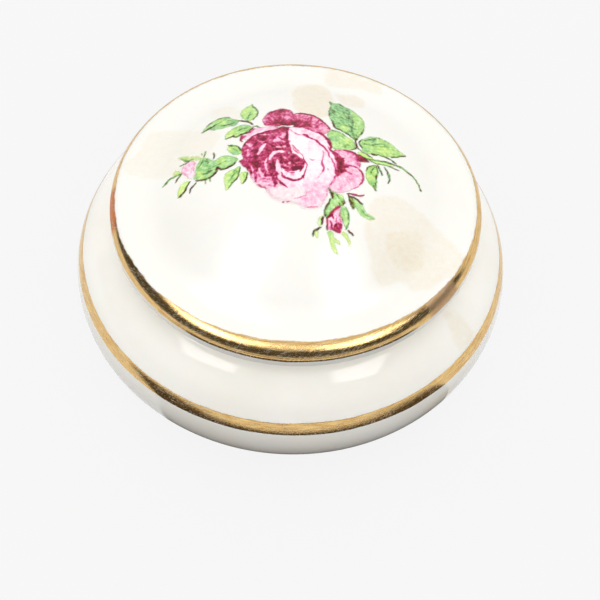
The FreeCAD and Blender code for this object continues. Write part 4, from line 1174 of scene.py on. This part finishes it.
# old stains: strength and outline in millimetres on the lid, or round the bowl's belly and up it
stains = {
    "unsteady": ((3, 0.5), (0.9, 0.25)),
    "lid": [
        (0.36, [(0.2, 13.5), (5.4, 13.6), (5.3, 22.4), (0.3, 22.3)]),
        (0.28, [(6.8, 20.7), (10.9, 20), (10.8, 17.4), (7.6, 17.2)]),
        (0.22, [(5.4, 23.2), (9.6, 22.8), (13.8, 21.8), (13.4, 24.4), (9, 26.4), (5.2, 26.8)]),
        (0.16, [(-27, 5), (-24.6, 10.6), (-22, 13.4), (-16.8, 12), (-12.3, 9.8), (-13.6, 5.4), (-14.5, 1.4), (-20, 2.4)]),
        (0.22, [(15.6, -2.7), (19, -4.4), (22, -6.5), (26, -11.7), (22.6, -15.4), (18.4, -17.9), (15.6, -16.4),
               (12.2, -17.5), (10.3, -11.2), (11.2, -5)]),
        (0.2, [(13.6, -9.6), (18.6, -8.4), (19, -13.6), (14.6, -14)]),
        (0.16, [(-13.4, 13.6), (-8.8, 12.8), (-9.6, 16.4), (-13, 17)]),
    ],
    "bowl": [
        (0.22, [(-120, 17), (-116.5, 16.8), (-116, 19.4), (-118, 21.4), (-120.4, 20)]),
        (0.2, [(-126, 18.5), (-123, 18), (-122.6, 21), (-125, 22)]),
        (0.2, [(-24, 17.4), (-20, 17), (-19.4, 20), (-22, 21.4)]),
        (0.24, [(-34, 9.4), (-27, 9), (-26, 11.6), (-31, 12.6)]),
        (0.16, [(40, 15.8), (52, 15.4), (54, 21), (43, 22)]),
    ],
}


def addStains(piece, spots, marks):
    spots = np.array(spots)
    for size, reach in stains["unsteady"]:
        spots = spots + [[reach * part for part in noise.noise_vector(Vector((x / size, y / size, 7)))[:2]]
                         for x, y in spots]
    count = len(spots)
    sheet = {"spots": spots, "tone": np.zeros(count), "warm": np.zeros(count), "cover": np.zeros(count),
             "flow": np.zeros((count, 2))}
    for strength, outline in marks:
        paintArea(sheet, outline[0], (0, 0), 0, outline, 0, 0.35, strength)
    values = piece.data.attributes.new("stain", "FLOAT", "POINT").data
    values.foreach_set("value", sheet["cover"].astype(np.float32))


def outOfMiddle(place):
    # how far a spot of the bowl lies from the middle of its bulge
    outwards = math.hypot(place.x, place.y) / mm - bowl["bellyRadius"] + bowl["bulgeDepth"]
    return math.hypot(outwards, place.z / mm - bowl["bellyHeight"]) if outwards > 0 else 0


lidSpots = [(v.co.x / mm, v.co.y / mm) if v.co.z / mm > lid["edgeMiddle"] + 1.5
             and v.co.z / mm > lidTop(v.co.x / mm, v.co.y / mm) - 1 else (99, 99)
            for v in lidPiece.data.vertices]
addStains(lidPiece, lidSpots, stains["lid"])
bowlSpots = [(math.atan2(v.co.y, v.co.x) * bowl["bellyRadius"], v.co.z / mm)
             if outOfMiddle(v.co) > bowl["bulgeDepth"] - 1 else (999, 99)
             for v in bowlPiece.data.vertices]
addStains(bowlPiece, bowlSpots, stains["bowl"])
print("stains laid")

# ---- table, light and camera ----

studio = {
    "tableSize": 8.0,
    "tableColour": "#A8A8A8",
    "tableDrop": 0.02,                    # millimetres, so that the foot does not share its plane
    "tableGlow": 1.0,
    "glowShare": 0.87,
    "eye": (-7.34, -163.58, 239.19),      # camera, millimetres from the foot of the box
    "lookAt": (1.85, 0.05, 0.0),
    "roll": -3.19,                        # degrees
    "lensMm": 101.65,
    "tentLevel": 1.04,                    # even light from the white tent
    "frontLevel": 1.6,                    # the same from its open front
    "mirroredTent": 0.9,                  # what the gloss and the gold mirror of the tent
    "mirroredFront": 0.09,
    # dark card round the front: degrees from +X, inner and outer radius in millimetres
    "card": [(206, 77, 90), (211, 71, 99), (216, 63, 105), (221, 57, 108), (227, 46, 101), (233, 28, 92),
             (240, 26, 81), (250, 26, 72), (262, 26, 69.5), (284, 26, 70), (296, 26, 72), (305, 26, 77),
             (312, 27, 84), (319, 30, 79), (324, 44, 70)],
    # wide card that shades the front of the bowl from below, unseen in gloss and gold
    "wideCard": [(212, 60, 110), (225, 40, 170), (240, 26, 220), (270, 26, 240), (300, 26, 220), (315, 40, 170),
                 (328, 60, 110)],
    "boxes": {                            # soft boxes: direction of the middle, direction of the long side, size
        "leftBox": ((-0.35, -0.1, 0.93), (-0.2, -0.46, -0.2), (0.19, 0.36)),
        "rightBox": ((0.36, -0.27, 0.88), (0.09, -0.53, -0.26), (0.17, 0.34)),
    },
    "boxAway": 0.5,
    "boxLevel": 4.0,
}


def paleTable():
    # white acrylic sheet: matt, with an even glow of its own that keeps the shadow on it faint
    material, tree = newMaterial("paleTable")
    shader = addNode(tree, "ShaderNodeBsdfPrincipled",
                     {"Base Color": hexColour(studio["tableColour"]), "Roughness": 0.6})
    glow = addNode(tree, "ShaderNodeEmission", {"Color": hexColour("#FFFFFF"), "Strength": studio["tableGlow"]})
    ray = addNode(tree, "ShaderNodeLightPath")
    shining = addNode(tree, "ShaderNodeMath", {"operation": "MAXIMUM"},
                      {0: ray.outputs["Is Camera Ray"], 1: ray.outputs["Is Glossy Ray"]})
    seen = addNode(tree, "ShaderNodeMath", {"operation": "MULTIPLY", 1: studio["glowShare"]},
                   {0: shining.outputs[0]})
    top = addNode(tree, "ShaderNodeMixShader", {}, {0: seen.outputs[0], 1: shader.outputs[0], 2: glow.outputs[0]})
    # clear from below, so that the foot can be looked at
    both = addNode(tree, "ShaderNodeMixShader", {},
                   {0: addNode(tree, "ShaderNodeNewGeometry").outputs["Backfacing"], 1: top.outputs[0],
                    2: addNode(tree, "ShaderNodeBsdfTransparent").outputs[0]})
    addNode(tree, "ShaderNodeOutputMaterial", {}, {"Surface": both.outputs[0]})
    half = studio["tableSize"] / 2
    mesh = bpy.data.meshes.new("table")
    low = -studio["tableDrop"] * mm
    corners = [(-half, -half, low), (half, -half, low), (half, half, low), (-half, half, low)]
    mesh.from_pydata(corners, [], [(0, 1, 2, 3)])
    mesh.materials.append(material)
    table = bpy.data.objects.new("table", mesh)
    bpy.context.scene.collection.objects.link(table)


def darkCard(name, outline, mirrored):
    # dark card lying in front of the box, out of the camera's sight: it gives the gold and the belly their dark side
    material, tree = newMaterial(name)
    shader = addNode(tree, "ShaderNodeBsdfPrincipled", {"Base Color": hexColour("#4A4038"), "Roughness": 0.6})
    side = addNode(tree, "ShaderNodeNewGeometry").outputs["Backfacing"]
    clear = addNode(tree, "ShaderNodeBsdfTransparent")
    both = addNode(tree, "ShaderNodeMixShader", {}, {0: side, 1: shader.outputs[0], 2: clear.outputs[0]})
    addNode(tree, "ShaderNodeOutputMaterial", {}, {"Surface": both.outputs[0]})
    points = []
    for angle, inner, outer in outline:
        turn = math.radians(angle)
        for reach in (inner, outer):
            points.append(Vector((reach * math.cos(turn), reach * math.sin(turn), 0.8)) * mm)
    steps = len(outline) - 1
    mesh = bpy.data.meshes.new(name)
    mesh.from_pydata(points, [], [(2 * i, 2 * i + 1, 2 * i + 3, 2 * i + 2) for i in range(steps)])
    mesh.materials.append(material)
    card = bpy.data.objects.new(name, mesh)
    bpy.context.scene.collection.objects.link(card)
    card.visible_camera = card.visible_shadow = False
    card.visible_glossy = mirrored


def softBox(name, towards, along, size):
    # a lamp brightest in its middle and fading to its edges, like cloth over a bulb
    lamp = bpy.data.lights.new(name, "AREA")
    lamp.shape = "RECTANGLE"
    lamp.size, lamp.size_y = size
    lamp.energy = studio["boxLevel"] * math.pi * size[0] * size[1]
    lamp.use_nodes = True
    tree = lamp.node_tree
    tree.nodes.clear()
    across = addNode(tree, "ShaderNodeSeparateXYZ", {},
                     {"Vector": addNode(tree, "ShaderNodeNewGeometry").outputs["Parametric"]})
    fades = []
    for side in ("X", "Y"):
        fromMiddle = addNode(tree, "ShaderNodeMath", {"operation": "SUBTRACT", 1: 0.5}, {0: across.outputs[side]})
        far = addNode(tree, "ShaderNodeMath", {"operation": "ABSOLUTE"}, {0: fromMiddle.outputs[0]})
        fades.append(addNode(tree, "ShaderNodeMapRange",
                             {"From Min": 0.5, "From Max": 0.41, "interpolation_type": "SMOOTHSTEP"},
                             {"Value": far.outputs[0]}))
    strength = addNode(tree, "ShaderNodeMath", {"operation": "MULTIPLY"},
                       {0: fades[0].outputs[0], 1: fades[1].outputs[0]})
    glow = addNode(tree, "ShaderNodeEmission", {}, {"Strength": strength.outputs[0]})
    addNode(tree, "ShaderNodeOutputLight", {}, {"Surface": glow.outputs[0]})
    box = bpy.data.objects.new(name, lamp)
    back = Vector(towards).normalized()
    side = Vector(along).cross(back).normalized()
    box.rotation_euler = Matrix((side, back.cross(side), back)).transposed().to_euler()
    box.location = back * studio["boxAway"] + Vector((0, 0, 0.02))
    box.visible_diffuse = False
    bpy.context.scene.collection.objects.link(box)


def studioSky():
    # white tent round the table, open and dark towards the front
    world = bpy.data.worlds.new("studioSky")
    bpy.context.scene.world = world
    world.use_nodes = True
    tree = world.node_tree
    tree.nodes.clear()
    towards = addNode(tree, "ShaderNodeTexCoord").outputs["Generated"]
    parts = addNode(tree, "ShaderNodeSeparateXYZ", {}, {"Vector": towards})
    tilted = addNode(tree, "ShaderNodeMath", {"operation": "MULTIPLY_ADD", 1: 0.16},
                     {0: parts.outputs["X"], 2: parts.outputs["Y"]})
    front = addNode(tree, "ShaderNodeMapRange", {"From Min": 0.35, "From Max": 0.27}, {"Value": tilted.outputs[0]})
    above = addNode(tree, "ShaderNodeMapRange", {"From Min": 0.05, "From Max": 0.13}, {"Value": parts.outputs["Z"]})
    below = addNode(tree, "ShaderNodeMapRange", {"From Min": 0.96, "From Max": 0.8,
                                                "interpolation_type": "SMOOTHSTEP"}, {"Value": parts.outputs["Z"]})
    dark = front.outputs[0]
    for limit in (above, below):
        dark = addNode(tree, "ShaderNodeMath", {"operation": "MULTIPLY"}, {0: dark, 1: limit.outputs[0]}).outputs[0]
    opening = addNode(tree, "ShaderNodeMapRange", {"From Min": 0.1, "From Max": -0.6}, {"Value": parts.outputs["Y"]})
    frontEven = addNode(tree, "ShaderNodeMapRange", {"From Min": 0.08, "From Max": 0.5, "To Max": studio["frontLevel"]},
                        {"Value": parts.outputs["Z"]})
    even = addNode(tree, "ShaderNodeMix", {"data_type": "FLOAT", 2: studio["tentLevel"]},
                   {0: opening.outputs[0], 3: frontEven.outputs[0]})
    mirrored = addNode(tree, "ShaderNodeMapRange",
                       {"To Min": studio["mirroredTent"], "To Max": studio["mirroredFront"]},
                       {"Value": dark})
    ray = addNode(tree, "ShaderNodeLightPath")
    level = addNode(tree, "ShaderNodeMix", {"data_type": "FLOAT"},
                    {0: ray.outputs["Is Glossy Ray"], 2: even.outputs[0], 3: mirrored.outputs[0]})
    shown = addNode(tree, "ShaderNodeMix", {"data_type": "FLOAT", 3: 1.0},
                    {0: ray.outputs["Is Camera Ray"], 2: level.outputs[0]})
    sky = addNode(tree, "ShaderNodeBackground", {"Color": hexColour("#FFFFFF")}, {"Strength": shown.outputs[0]})
    addNode(tree, "ShaderNodeOutputWorld", {}, {"Surface": sky.outputs[0]})


def camera():
    lens = bpy.data.cameras.new("camera")
    lens.sensor_width = 36
    lens.lens = studio["lensMm"]
    lens.clip_start, lens.clip_end = 0.01, 10
    eye = bpy.data.objects.new("camera", lens)
    bpy.context.scene.collection.objects.link(eye)
    eye.location = Vector(studio["eye"]) * mm
    ahead = (Vector(studio["lookAt"]) * mm - eye.location).normalized()
    turn = ahead.to_track_quat("-Z", "Y").to_matrix().to_4x4()
    eye.rotation_euler = (turn @ Matrix.Rotation(math.radians(-studio["roll"]), 4, "Z")).to_euler()
    bpy.context.scene.camera = eye


paleTable()
studioSky()
darkCard("darkCard", studio["card"], True)
darkCard("wideCard", studio["wideCard"], False)
for boxName, boxPlace in studio["boxes"].items():
    softBox(boxName, *boxPlace)
camera()
bpy.context.scene.view_settings.view_transform = "Standard"
print("studio set")
